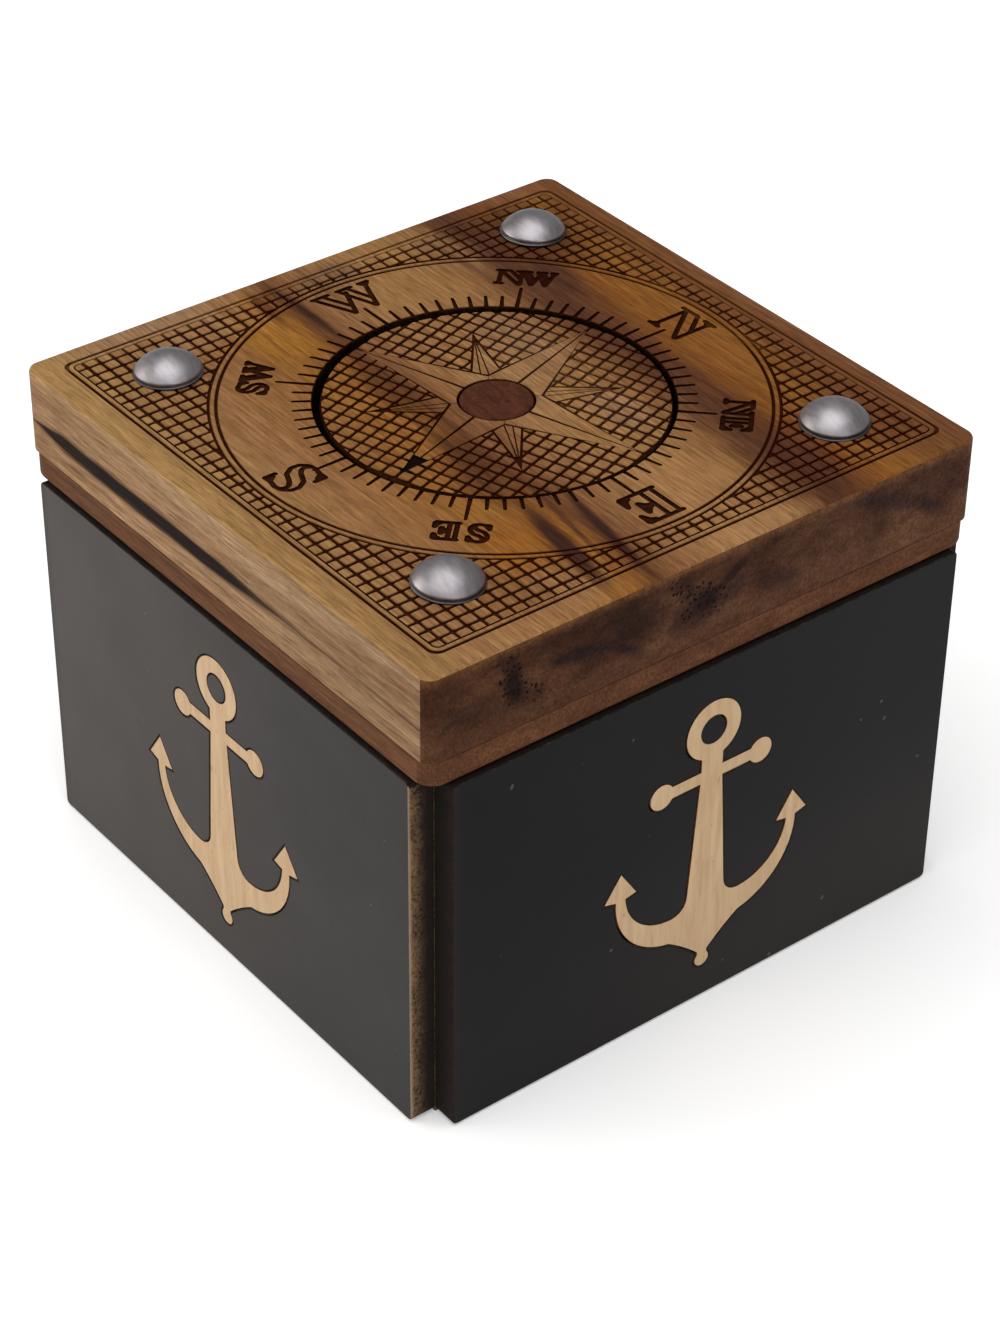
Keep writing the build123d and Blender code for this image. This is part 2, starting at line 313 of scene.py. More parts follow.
ring_centre, ring_radius, ring_hole = (0, 49.0), 5.0, 2.35
stock_height, stock_half, stock_reach, stock_ball = 41.2, 1.05, 9.1, 2.15
shank_top, shank_taper, shank_foot = 2.0, 0.08, (3.5, 20.3)
crown_centre, crown_radius = (6.2, 26.5), 8.9
armpit = (shank_foot, (4.3, 18.4), (6.2, 17.6))
fluke = [(13.1, 26.3), (16.05, 30.8), (19.0, 26.5)]
arm_back = ((16.9, 25.9), (13.2, 16.6), (6.6, 13.1))
tip_ball_centre, tip_ball, tip_neck = (0, 7.0), 1.35, 0.95
keel = (arm_back[-1], (3.6, 10.9), (tip_neck, 8.5))
anchor_scale, anchor_lift = 0.974, 0.5


def anchor_loops(grow=0.0, shift=(0.0, 0.0)):
    """The anchor's outline, counter-clockwise, and its ring's hole, clockwise."""
    stock_join = math.degrees(math.asin(stock_half / stock_ball))
    ring_join = math.degrees(math.asin(shank_top / ring_radius))
    tip_join = math.degrees(math.acos(tip_neck / tip_ball))
    half = arc(ring_centre, ring_radius, 90, ring_join - 90, 22)
    half.append((shank_top, stock_height + stock_half))
    half += arc((stock_reach, stock_height), stock_ball, 180 - stock_join, stock_join - 180, 20)
    half.append((shank_top + shank_taper, stock_height - stock_half))
    half += bow(*armpit, 5)
    half += arc(crown_centre, crown_radius, -90, -4, 16)[1:]
    half += fluke
    half += bow(*arm_back, 16)
    half += bow(*keel, 6)[1:]
    half += arc(tip_ball_centre, tip_ball, tip_join, -90, 8)
    outline = half[:-1] + [(-x, y) for x, y in reversed(half)][:-1]
    outline.reverse()
    hole = arc(ring_centre, ring_hole, 360, 0, 32)[:-1]
    loops = []
    for loop in (outline, hole):
        scaled = [(x * anchor_scale, y * anchor_scale + anchor_lift) for x, y in loop]
        loops.append(moved(inset(scaled, -grow), shift))
    return loops


def laminate(name, specular, shade, painted_light, end_light, floor_reflection):
    """Black satin skin with faint mottling, fine dust and a few pale nicks; painted reflection makes it
    lighter or darker at one end and lighter low toward the other.
    """
    skin = Finish(name, roughness=0.42, specular=specular)
    mottle = skin.noise((0.05, 0.05, 0.05), detail=5.0, rough=0.6)
    dust = skin.noise((3.5, 3.5, 3.5), detail=2.0)
    base = skin.ramp(mottle, [(0.3, shade), (0.7, tuple(1.3 * v for v in shade))])
    faces_east = skin.calc("GREATER_THAN", skin.calc("ABSOLUTE", skin.x), skin.calc("ABSOLUTE", skin.y))
    along_y = skin.calc("MULTIPLY", skin.y, skin.calc("SIGN", skin.x))
    along_x = skin.calc("MULTIPLY", skin.x, skin.calc("SIGN", skin.y))
    along = skin.calc("MULTIPLY", faces_east, skin.calc("ADD", along_x, along_y))
    along = skin.calc("SUBTRACT", along, along_x)
    # Painted reflection: toward the left-hand end the skin shifts to a lighter colour on the south and
    # north panels and to a darker one on the east and west.
    light_fade = skin.spread(along, -panel_half, panel_half, end_light, 0.0)
    base = skin.mix(light_fade, base, painted_light)
    # Painted floor reflection: lighter toward the bottom, most of all toward the right-hand end.
    low_end = skin.spread(skin.z, 40, 4, 0.0, floor_reflection)
    base = skin.stain(base, low_end, skin.spread(along, -40, 30, 0.3, 1.0), tone(41, 37, 35))
    nicks = skin.spread(skin.noise((0.5, 0.5, 0.5), detail=1.0, shift=(7, 3, 5)), 0.785, 0.81)
    colour = skin.stain(base, nicks, 0.4, tone(112, 107, 102))
    colour = skin.mix(skin.spread(dust, 0.66, 0.8, 0.0, 0.05), colour, tone(120, 116, 112))
    haze = skin.spread(along, 1.9 - panel_half, 0.1 - panel_half, 0.0, 0.75)
    skin.rough(skin.spread(mottle, 0.3, 0.7, 0.42, 0.48))
    colour = skin.mix(haze, colour, tone(29, 21, 17))
    return skin.done(colour, skin.noise((0.9, 0.9, 0.9), detail=6.0), 0.02)


panel_low, panel_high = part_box("panel_south")
panel_half = panel_high.x / mm
panel_foot, panel_top = panel_low.z / mm, panel_high.z / mm
panel_back, panel_face = -panel_high.y / mm, -panel_low.y / mm
pocket_depth = 2.4
# The south and north skins carry lighter painted reflection and the east and west skins darker painted
# shade at their left-hand ends.
dark_skin = laminate("dark_panel_skin", 0.08, tone(18, 18, 19), tone(12, 12, 13), 0.95, 0.8)
lit_skin = laminate("worn_panel_skin", 0.2, tone(17, 13, 12), tone(57, 49, 43), 0.85, 0.3)
panel_skins = {"south": lit_skin, "east": dark_skin, "north": lit_skin, "west": dark_skin}


def ragged_reach(board, noise, depth):
    """How far out from the box's middle a place is, made ragged by noise."""
    away = board.calc("MAXIMUM", board.calc("ABSOLUTE", board.x), board.calc("ABSOLUTE", board.y))
    return board.calc("MULTIPLY_ADD", noise, depth, away)


def edge_scorch(board):
    """Scorching that fades over the outer part of a cut edge."""
    ragged = ragged_reach(board, board.noise((0.5, 0.5, 0.25), detail=5.0), 1.6)
    return board.spread(ragged, panel_back + 1.7, panel_face + 1.1, 0.98, 0.04)


def arris_highlight(board):
    """A pale hair line along the board's outer corner: a painted highlight on the arris."""
    ragged = ragged_reach(board, board.noise((0.6, 0.6, 0.2), shift=(2, 4, 8)), 0.6)
    return board.spread(ragged, panel_face - 0.25, panel_face + 0.3, 0.0, 0.8)


panel_edge = fibreboard("panel_edge", tone(122, 94, 64), tone(44, 31, 22), edge_scorch, arris_highlight)
panel_rim = fibreboard("panel_rim", tone(40, 36, 34), tone(24, 21, 20))
# Scorch and painted shade: the near-black finish of the notched end, the top edge and the pocket's floor.
burnt_edge = fibreboard("burnt_edge", tone(31, 18, 14), tone(17, 10, 8), edge_scorch)
cut_slot, shaded_scorch_slot = 2, 3
panel_corner, panel_arris, island_arris = 0.8, 0.14, 0.1
pocket_grow, pocket_shift = 0.17, (-0.07, -0.09)
backing_lap, backing_gap, backing_arris = 0.3, 0.05, 0.01
shaded_scorch_end, shaded_scorch_reach, cut_end = 0.2, 0.9, 0.1


def scorch_and_shade_edges(faces):
    """Gives the end, corner and top edges of a panel that lies flat their scorched finish, darkened with
    painted shade, and leaves its far end cut.
    """
    for face in faces:
        across, up = face.calc_center_median().x / mm, face.calc_center_median().y / mm
        by_end, by_top = across < shaded_scorch_reach - panel_half, up > panel_top - shaded_scorch_reach
        on_edge = face.material_index == cut_slot and abs(face.normal.z) < 0.5
        if across < shaded_scorch_end - panel_half or on_edge and (by_end or by_top):
            face.material_index = shaded_scorch_slot
        elif across > panel_half - cut_end:
            face.material_index = cut_slot


def stood_up(side):
    """Turns a piece that lies flat upright, and round to its side of the box."""
    turn = math.radians(90 * sides.index(side))
    return Matrix.Rotation(turn, 4, "Z") @ Matrix.Rotation(math.radians(90), 4, "X")


for side in sides:
    shell = Shell()
    outline = rounded_square(panel_half, (panel_top - panel_foot) / 2, panel_corner)
    outline = moved(outline, (0.0, (panel_top + panel_foot) / 2))
    pocket, island = anchor_loops(pocket_grow, pocket_shift)
    pocket_floor = panel_face - pocket_depth
    shell.board([outline, pocket[::-1]], panel_back, panel_face, panel_arris)
    backing = [inset(pocket, -backing_lap)]
    shell.board(backing, panel_back + backing_gap, pocket_floor, backing_arris, *[shaded_scorch_slot] * 3)
    shell.board([island[::-1]], pocket_floor, panel_face, island_arris)
    shell.mesh.normal_update()
    scorch_and_shade_edges(shell.mesh.faces)
    finishes = [panel_skins[side], panel_rim, panel_edge, burnt_edge]
    panel = shell.finish(f"skinned_panel_{side}", finishes, stood_up(side))
    install(panel, f"panel_slider_{side}", "black_panel", f"panel_{side}")


# Anchor inlays.
# Each anchor is cut from pale maple veneer board and glued flush into its pocket.
# Its laser-cut edge is browned, which draws the thin dark outline round it.
def maple(name, pale, dark):
    """Pale close-grained maple with faint flecks and rare brown pin marks."""
    wood = Finish(name, roughness=0.55, specular=0.3)
    grain = wood.noise((0.9, 0.9, 0.09), detail=6.0, rough=0.6)
    cloud = wood.noise((0.12, 0.12, 0.05), detail=3.0, shift=(3, 1, 9))
    base = wood.ramp(grain, [(0.3, dark), (0.62, pale)])
    base = wood.mix(wood.spread(cloud, 0.4, 0.7, 0.0, 0.5), base, wood.mix(0.6, pale, dark))
    flecks = wood.spread(wood.noise((1.8, 1.8, 0.5), detail=2.0, shift=(11, 5, 2)), 0.66, 0.74, 0.0, 0.55)
    return wood.done(wood.mix(flecks, base, tone(150, 108, 70)), grain, 0.03)


inlay_wood = maple("inlay_wood", tone(200, 169, 130), tone(181, 146, 107))
inlay_edge = fibreboard("inlay_edge", tone(96, 62, 38), tone(48, 30, 20))
inlay_arris = 0.06
for side in sides:
    shell = Shell()
    shell.board(anchor_loops(), panel_face - pocket_depth, panel_face, inlay_arris, wall=1)
    inlay = shell.finish(f"inlaid_anchor_{side}", [inlay_wood, inlay_edge], stood_up(side))
    install(inlay, f"panel_slider_{side}", "inlay_wood", f"anchor_{side}")


# Panel runners, lid bolts and the dial's shaft.
# They are planed maple, the runners and bolts cut square and the shaft turned, and run dry.
hardwood = maple("planed_hardwood", tone(206, 170, 122), tone(176, 138, 94))
dress(["dial_shaft"], hardwood)
for side in sides:
    dress([f"lock_runner_{side}", f"guide_runner_{side}", f"bolt_{side}"], hardwood)


# Lid slab.
# A thick oiled board of strongly figured wood, its top burnt by laser to a shallow even depth.
# What the laser left standing is the border, the frame, the circle and the hatch.
lid_low, lid_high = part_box("lid_slab")
lid_half = (lid_high.x - lid_low.x) / 2 / mm
lid_centre = ((lid_high.x + lid_low.x) / 2 / mm, (lid_high.y + lid_low.y) / 2 / mm)
slab_bottom, slab_top = lid_low.z / mm, lid_high.z / mm
burn_depth = 0.34
burnt_floor = slab_top - burn_depth
figure_slope, figure_span, through = 0.055, 96, 30


def figure(wood):
    """The colour of the lid's board: dark bands and golden patches that run along x."""
    drift = wood.noise((0.014, 0.05, 0.03), detail=3.0, rough=0.5, shift=(4, 2, 0))
    ripple = wood.noise((0.06, 0.35, 0.2), detail=3.0, rough=0.6, shift=(1, 8, 3))
    across = wood.calc("MULTIPLY_ADD", wood.x, figure_slope, wood.y)
    across = wood.calc("MULTIPLY_ADD", wood.calc("SUBTRACT", drift, 0.5), 11.0, across)
    across = wood.calc("MULTIPLY_ADD", wood.calc("SUBTRACT", ripple, 0.5), 3.4, across)
    bands = [
        (-47, tone(162, 127, 80)),
        (-41, tone(150, 114, 72)),
        (-32, tone(147, 107, 69)),
        (-24, tone(142, 100, 58)),
        (-19, tone(142, 96, 46)),
        (-14, tone(142, 94, 42)),
        (-11.6, tone(116, 74, 38)),
        (-10, tone(96, 60, 34)),
        (-8.4, tone(118, 78, 48)),
        (-4, tone(138, 98, 62)),
        (3, tone(152, 113, 71)),
        (12, tone(150, 111, 68)),
        (17, tone(134, 95, 58)),
        (20.5, tone(104, 68, 42)),
        (23.5, tone(84, 52, 34)),
        (27, tone(98, 60, 34)),
        (31, tone(125, 77, 32)),
        (36, tone(134, 88, 38)),
        (41, tone(118, 76, 40)),
        (47, tone(112, 72, 44)),
    ]
    stops = [((v + figure_span / 2) / figure_span, colour) for v, colour in bands]
    colour = wood.ramp(wood.calc("MULTIPLY_ADD", across, 1 / figure_span, 0.5), stops)
    ragged = wood.noise((0.05, 0.3, 0.2), shift=(9, 4, 1))
    patches = [
        ((-32, -15), (10, 7), 0, tone(153, 105, 42), 0.85),
        ((-40, -22), (7, 12), 0, tone(156, 118, 82), 0.75),
        ((31, -21), (10, 6), -8, tone(146, 92, 36), 0.8),
        ((42, -22), (7, 9), 0, tone(144, 106, 72), 0.7),
        ((-42, 1), (5, 8), 0, tone(116, 85, 63), 0.75),
        ((-46, -27), (5, 26), 0, tone(154, 122, 92), 0.7),
        ((-46, 38), (5, 11), 0, tone(124, 84, 58), 0.7),
        ((46.5, 8), (4, 13), 0, tone(166, 126, 84), 0.8),
        ((-10, 12), (16, 7), 0, tone(151, 117, 88), 0.6),
        ((12, 12), (9, 5), 0, tone(149, 117, 90), 0.6),
        ((1, 3), (15, 6), 0, tone(158, 124, 88), 0.5),
        ((2, 34), (26, 8), 0, tone(134, 86, 36), 0.75),
        ((2, 42), (34, 3), 0, tone(112, 70, 42), 0.6),
        ((0, 46.5), (44, 2.5), 0, tone(122, 84, 56), 0.6),
        ((11, -13), (16, 5), -8, tone(84, 50, 31), 0.85),
        ((-10, -11), (13, 3.4), -6, tone(86, 52, 28), 0.7),
        ((31, -15), (9, 3.5), -10, tone(118, 68, 24), 0.7),
        ((-34, 33), (15, 11), 12, tone(68, 42, 31), 0.7),
        ((-22, 28), (10, 4), 0, tone(72, 44, 32), 0.75),
        ((-38, 19.5), (13, 5.0), 8, tone(142, 106, 70), 0.85),
        ((38, 24), (15, 6), -4, tone(77, 43, 28), 0.75),
        ((12, 25.5), (30, 2.4), -2, tone(88, 50, 32), 0.7),
        ((36, 38), (15, 7), 0, tone(98, 58, 34), 0.5),
        ((-35, -7.6), (16, 1.4), -1, tone(56, 34, 24), 0.95),
        ((-40, -11.6), (8, 1.5), -5, tone(88, 50, 26), 0.75),
        ((-41, -1.5), (8, 0.8), 2, tone(104, 72, 46), 0.6),
        ((34, 8), (15, 8), 0, tone(162, 120, 78), 0.7),
        ((47, -30), (5, 15), 0, tone(164, 124, 82), 0.6),
        ((35, -8.9), (15, 1.3), -9, tone(52, 30, 26), 0.95),
        ((34, -15.4), (16, 2.0), -9, tone(54, 32, 26), 0.95),
        ((31, -11.8), (14, 0.7), -9, tone(80, 46, 30), 0.8),
        ((30, 18.2), (20, 0.7), -3, tone(100, 64, 44), 0.6),
        ((-6, 29.6), (20, 0.7), 2, tone(104, 66, 34), 0.5),
        ((-33, 19.5), (14, 0.9), 4, tone(98, 66, 44), 0.6),
        ((-28, -20.5), (18, 0.6), 3, tone(112, 72, 38), 0.5),
        ((10, -31.5), (26, 0.7), -2, tone(120, 84, 52), 0.5),
    ]
    for (x, y), (reach_x, reach_y), turn, hue, strength in patches:
        turned = (0, 0, math.radians(turn))
        mask = wood.blob((x, y, slab_top), (reach_x, reach_y, through), 0.9, ragged, turned)
        colour = wood.stain(colour, mask, strength, hue)
    return colour


def fibres(wood, colour, along="x"):
    """Fine fibres and short dark pores, drawn out along the grain."""
    if along == "x":
        fine, pore, broad = (0.2, 2.6, 2.6), (0.4, 5.0, 5.0), (0.035, 1.0, 1.0)
    else:
        fine, pore, broad = (2.2, 2.2, 2.2), (3.0, 3.0, 3.0), (0.3, 0.3, 0.6)
    threads = wood.noise(fine, detail=5.0, rough=0.65)
    pores = wood.spread(wood.noise(pore, detail=2.0, shift=(2, 7, 1)), 0.60, 0.72, 0.0, 0.42)
    shade = wood.ramp(threads, [(0.33, (0.67, 0.62, 0.57, 1)), (0.66, (1.28, 1.29, 1.30, 1))])
    colour = wood.tint(colour, shade)
    bands = wood.noise(broad, rough=0.6, shift=(6, 9, 4))
    shade = wood.ramp(bands, [(0.3, (0.80, 0.76, 0.72, 1)), (0.7, (1.14, 1.13, 1.12, 1))])
    colour = wood.tint(colour, shade)
    return wood.mix(pores, colour, tone(46, 27, 16)), threads


dial_turn = 18.0
pointer_middle, pointer_reach = (6.15, -18.93), (2.4, 4.4)


def figured_wood(name, burn=0.0, char=tone(47, 12, 2)):
    """The lid's top face, plain, browned or burnt, with the places where the laser bit less."""
    wood = Finish(name, roughness=0.58 + 0.3 * burn, specular=0.07 - 0.05 * burn)
    colour, threads = fibres(wood, figure(wood))
    if burn:
        darkening = wood.noise((1.1, 1.1, 1.1), shift=(5, 5, 5))
        depth = wood.spread(darkening, 0.3, 0.7, burn - 0.04, min(1.0, burn + 0.04))
        light_passes = [
            ((-28, 48), (44, 12), 0.34),
            ((-46, 28), (11, 22), 0.3),
            ((-47.5, 0), (4.6, 60), 0.45),
            ((0, 47.5), (60, 4.6), 0.3),
            ((0, 43.3), (62, 2.4), 0.55),
            ((-43.4, 0), (2.4, 62), 0.5),
            ((0, 38.6), (30, 2.4), 0.4),
            ((0, 13), (22, 11), 0.2),
        ]
        for (x, y), (reach_x, reach_y), sparing in light_passes:
            mask = wood.blob((x, y, slab_top), (reach_x, reach_y, through), 0.4, darkening)
            depth = wood.calc("MULTIPLY", depth, wood.calc("MULTIPLY_ADD", mask, -sparing, 1.0))
        colour = wood.mix(depth, colour, char)
        turned = (0, 0, math.radians(dial_turn))
        pointer = wood.blob((*pointer_middle, slab_top), (*pointer_reach, through), turn=turned)
        colour = wood.mix(wood.spread(pointer, 0.2, 0.55, 0.0, 0.92), colour, tone(15, 11, 10))
    return wood.done(colour, threads, 0.035)


streak_height, streak_half = 69.3, 1.3


def long_side_wood():
    """The lid's south and north sides: pale long grain with one blue-black mineral streak."""
    wood = Finish("lid_long_side", roughness=0.66, specular=0.04)
    broad = wood.noise((0.02, 0.3, 0.42), rough=0.6, shift=(3, 0, 6))
    stops = [(0.3, tone(136, 104, 74)), (0.5, tone(156, 126, 94)), (0.72, tone(172, 144, 112))]
    colour, threads = fibres(wood, wood.ramp(broad, stops))
    wobble = wood.noise((0.05, 0.05, 0.05), detail=2.0, shift=(8, 8, 8))
    lift = wood.calc("MULTIPLY_ADD", wobble, 0.9, wood.calc("SUBTRACT", wood.z, streak_height))
    taper = wood.calc("MULTIPLY", wood.spread(wood.x, -47.5, -36), wood.spread(wood.x, -2, 22, 1.0, 0.0))
    taper = wood.calc("MULTIPLY", taper, wood.spread(wood.y, -20, 20, 1.0, 0.3))
    edge = wood.calc("SUBTRACT", wood.calc("MULTIPLY", taper, streak_half), wood.calc("ABSOLUTE", lift))
    ragged = wood.noise((0.12, 2.4, 2.4), detail=3.0, shift=(1, 2, 3))
    edge = wood.calc("MULTIPLY_ADD", wood.calc("SUBTRACT", ragged, 0.5), 0.9, edge)
    colour = wood.mix(wood.spread(edge, -0.9, 0.3, 0.0, 0.65), colour, tone(88, 58, 40))
    colour = wood.mix(wood.spread(edge, -0.3, 0.45), colour, tone(26, 17, 14))
    scratches = wood.noise((0.16, 5.0, 5.0), detail=3.0, shift=(5, 1, 8))
    scratches = wood.spread(scratches, 0.56, 0.66, 0.0, 0.4)
    colour = wood.mix(scratches, colour, tone(70, 44, 28))
    shaded = wood.tint(colour, (0.84, 0.83, 0.84, 1))
    colour = wood.mix(wood.spread(wood.x, -15, 46), colour, shaded)
    tail = wood.blob((15, -48, 68.9), (12, 60, 1.5))
    tail = wood.calc("MULTIPLY", tail, wood.spread(ragged, 0.42, 0.6))
    colour = wood.stain(colour, tail, 0.6, tone(86, 60, 44))
    line = wood.blob((-34.5, 0, 65.9), (4.0, 200, 0.35))
    return wood.done(wood.stain(colour, line, 0.7, tone(84, 48, 36)), threads, 0.05)


east_end, end_through = 47, 60
worm_density, worm_hole, worm_edge = 1.35, 0.44, 0.242


def end_grain_wood():
    """The lid's east and west ends: dark end grain with smoky arcs and black knots."""
    wood = Finish("lid_end_grain", roughness=0.6, specular=0.03)
    cloud = wood.noise((0.07, 0.07, 0.11), detail=5.0, rough=0.6, shift=(2, 6, 4))
    stops = [(0.34, tone(58, 35, 25)), (0.5, tone(80, 53, 38)), (0.66, tone(104, 74, 53))]
    colour = wood.ramp(cloud, stops)
    smoky = wood.tint(colour, (0.70, 0.62, 0.58, 1))
    colour = wood.mix(wood.spread(wood.y, 22, -40), colour, smoky)
    ragged = wood.noise((0.5, 0.5, 0.6), detail=6.0, rough=0.7, shift=(3, 3, 1))
    stains = [
        ((-34.2, 70.8), (2.4, 5.2), 10, tone(20, 12, 11), 0.9),
        ((-35.6, 75.0), (2.2, 3.0), 20, tone(34, 21, 18), 0.55),
        ((-31.0, 67.0), (3.0, 2.4), 40, tone(36, 23, 19), 0.5),
        ((-23.0, 70.6), (8.5, 2.0), -10, tone(32, 23, 24), 0.85),
        ((-15.0, 67.6), (5.5, 1.5), -38, tone(30, 21, 24), 0.85),
        ((-15.0, 71.5), (7.5, 5.0), -20, tone(38, 23, 20), 0.75),
        ((41.0, 71.0), (9.0, 7.0), 0, tone(58, 33, 27), 0.5),
        ((-2.2, 70.2), (3.6, 2.8), 20, tone(20, 12, 14), 0.9),
        ((-6.0, 73.6), (2.0, 3.2), 30, tone(34, 21, 20), 0.55),
        ((2.2, 72.6), (4.6, 1.2), 28, tone(30, 20, 21), 0.8),
        ((-4.5, 68.5), (6.5, 5.0), 0, tone(38, 22, 22), 0.7),
        ((3.0, 70.2), (4.6, 2.4), 30, tone(44, 28, 30), 0.55),
        ((11.0, 68.0), (7.0, 2.6), -20, tone(42, 29, 26), 0.5),
        ((30.0, 73.0), (11.0, 1.9), -24, tone(42, 28, 28), 0.65),
        ((39.0, 68.5), (8.0, 1.8), -42, tone(38, 26, 26), 0.65),
        ((-42.0, 69.5), (8.0, 2.4), 0, tone(48, 32, 27), 0.45),
    ]
    for (y, z), (reach_y, reach_z), turn, hue, strength in stains:
        turned = (math.radians(turn), 0, 0)
        mask = wood.blob((east_end, y, z), (end_through, reach_y, reach_z), 1.1, ragged, turned)
        colour = wood.stain(colour, mask, strength, hue)
    cells = wood.mapped((3, 1, 2), (0, 0, 0), (worm_density, worm_density, worm_density))
    cells = wood.add("ShaderNodeTexVoronoi", {"Vector": cells, "Scale": 1.0}).outputs["Distance"]
    worms = wood.spread(cells, worm_edge, worm_hole, 1.0, 0.0)
    trails = [
        ((-34.9, 72.4), (2.8, 8.0), 12),
        ((-31.0, 67.3), (2.6, 7.5), 46),
        ((-2.4, 70.0), (5.4, 4.8), 0),
        ((-6.8, 73.5), (2.0, 4.4), 30),
    ]
    for (y, z), (reach_y, reach_z), turn in trails:
        turned = (math.radians(turn), 0, 0)
        trail = wood.blob((east_end, y, z), (end_through, reach_y, reach_z), 0.3, ragged, turned)
        colour = wood.stain(colour, wood.spread(trail, 0.1, 0.4), worms, tone(14, 9, 10))
    specks = wood.spread(wood.noise((1.5, 1.5, 1.5), detail=2.0, shift=(9, 1, 4)), 0.64, 0.72, 0.0, 0.5)
    colour = wood.mix(specks, colour, tone(34, 22, 18))
    height = wood.calc("MULTIPLY_ADD", ragged, 2.4, wood.z)
    foot = wood.spread(height, slab_bottom + 3.0, slab_bottom + 6.2, 0.6, 0.0)
    colour = wood.mix(foot, colour, tone(88, 60, 42))
    # Lighter along the rounded top edge: pale fuzzy fibres with a painted highlight.
    painted_light = wood.spread(height, slab_top - 0.9, slab_top + 1.3, 0.0, 0.65)
    colour, threads = fibres(wood, wood.mix(painted_light, colour, tone(118, 80, 50)), along="end")
    return wood.done(colour, threads, 0.06)


top_wood = figured_wood("lid_top_wood")
browned_wood = figured_wood("lid_browned_wood", 0.72, tone(72, 36, 16))
burnt_wood = figured_wood("lid_burnt_wood", 0.97)
side_wood = long_side_wood()
end_wood = end_grain_wood()
well_wood = figured_wood("dial_well_wood", 0.98, tone(16, 10, 8))
charred_wood = figured_wood("lid_charred_wood", 0.98, tone(39, 13, 4))
lid_finishes = [top_wood, browned_wood, burnt_wood, side_wood, end_wood, well_wood, charred_wood]
top_slot, browned_slot, burnt_slot, side_slot, end_slot, well_slot, charred_slot = range(7)

lid_corner, corner_steps, foot_arris, foot_rise = 2.0, 6, 0.12, 0.15
frame_outer, frame_inner, frame_arris = 43.9, 42.8, 0.08
frame_corner, frame_inner_corner, field_corner = 1.5, 0.9, 0.7
turned_end = 0.15
dial_low, dial_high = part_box("compass_disc")
dial_radius, dial_top, dial_bottom = dial_high.x / mm, dial_high.z / mm, dial_low.z / mm
well_radius, well_gap, shaft_hole, hole_sides = 25.6, 0.5, 4.1, 32
well_floor = dial_bottom - well_gap
well_centre, pattern_centre = (-0.03, -0.28), (-0.14, -0.18)
charred_radius = 38.6


def circle(radius, count=160, clockwise=False):
    points = arc((0, 0), radius, 0, 360, count)[:-1]
    return points[::-1] if clockwise else points


def by_facing(piece, long_grain, end_grain):
    """Gives the sides their long grain or end grain by the way they face."""
    for face in piece.data.polygons:
        if face.material_index == long_grain and abs(face.normal.x) > turned_end:
            face.material_index = end_grain


shell = Shell()
outline = moved(rounded_square(lid_half, lid_half, lid_corner, corner_steps), lid_centre)
edge = [(foot_arris, slab_bottom), (0.0, slab_bottom + foot_rise), (0.0, slab_top - 0.55)]
edge += [(0.05, slab_top - 0.3), (0.17, slab_top - 0.1), (0.4, slab_top)]
slots = [side_slot, side_slot, side_slot, top_slot, top_slot]
foot, crown = shell.stack([(inset(outline, pull), height) for pull, height in edge], slots)
field_edge = rounded_square(frame_outer, frame_outer, frame_corner, corner_steps)[::-1]
field_walls = [(field_edge, burnt_floor), (field_edge, slab_top - frame_arris)]
field_walls.append((inset(field_edge, frame_arris), slab_top))
sunk, lip = shell.stack(field_walls, [burnt_slot, browned_slot])
shell.cap([crown, lip], top_slot)
well_wall = moved(circle(well_radius), well_centre)
mouth, base = shell.stack([(well_wall, burnt_floor), (well_wall, well_floor)], [well_slot])
under_ring = shell.loop(circle(charred_radius), burnt_floor)
shell.cap([sunk, under_ring], burnt_slot)
shell.cap([under_ring, mouth], charred_slot)
hole_outline = circle(shaft_hole, hole_sides)
hole, hole_foot = shell.stack([(hole_outline, well_floor), (hole_outline, slab_bottom)], [well_slot])
shell.cap([base, hole], well_slot)
shell.cap([foot, hole_foot], side_slot, up=False)
slab = shell.finish("figured_lid_slab", lid_finishes)
by_facing(slab, side_slot, end_slot)
install(slab, "lid", "lid_wood", "lid_slab")


# Frame rail and circle rail.
# Two thin raised lines that the laser left between its own cuts, one square and one round.
circle_outer, circle_inner = 39.95, 38.86
line_half, rail_arris, rail_root = 0.2, 0.09, 0.05
rail_half = frame_outer - line_half * 2

shell = Shell()
rail_outer = rounded_square(rail_half, rail_half, frame_corner, corner_steps)
rail_inner = rounded_square(frame_inner, frame_inner, frame_inner_corner, corner_steps)[::-1]
shell.board([rail_outer, rail_inner], burnt_floor - rail_root, slab_top, rail_arris)
rail_outer = moved(circle(circle_outer - line_half), pattern_centre)
rail_inner = moved(circle(circle_inner + line_half, clockwise=True), pattern_centre)
shell.board([rail_outer, rail_inner], burnt_floor - rail_root, slab_top, rail_arris)
rails = shell.finish("frame_and_circle_rails", lid_finishes)
install(rails, "lid", "lid_wood")


# Hatch.
# A square grid burnt in the corners of the lid and over the whole dial leaves small pillowed tiles.
# One tile is repeated on a grid, and the grid is trimmed to its field.
hatch_pitch = 2.22
tile_half, tile_corner, tile_edge, tile_drop = 0.945, 0.34, 0.12, 0.096
tile_root, field_root, field_head = 0.15, 0.05, 0.5
wave_scale, wave_reach = 55.0, 0.0007
tile_least, tile_most, tile_lean = 0.955, 1.02, 0.035
flat_from, eased_from = 0.98, 0.2


def make_tile(top):
    """One tile with its pillowed top, as a closed solid."""
    shell = Shell()
    points = rounded_square(tile_half, tile_half, tile_corner, steps=2)
    walls = [(points, top - burn_depth - tile_root), (points, top - tile_drop)]
    walls.append((inset(points, tile_edge), top))
    foot, crown = shell.stack(walls, [burnt_slot, browned_slot])
    shell.cap([crown], top_slot)
    shell.cap([foot], burnt_slot, up=False)
    return shell.finish("tile_pattern", [])


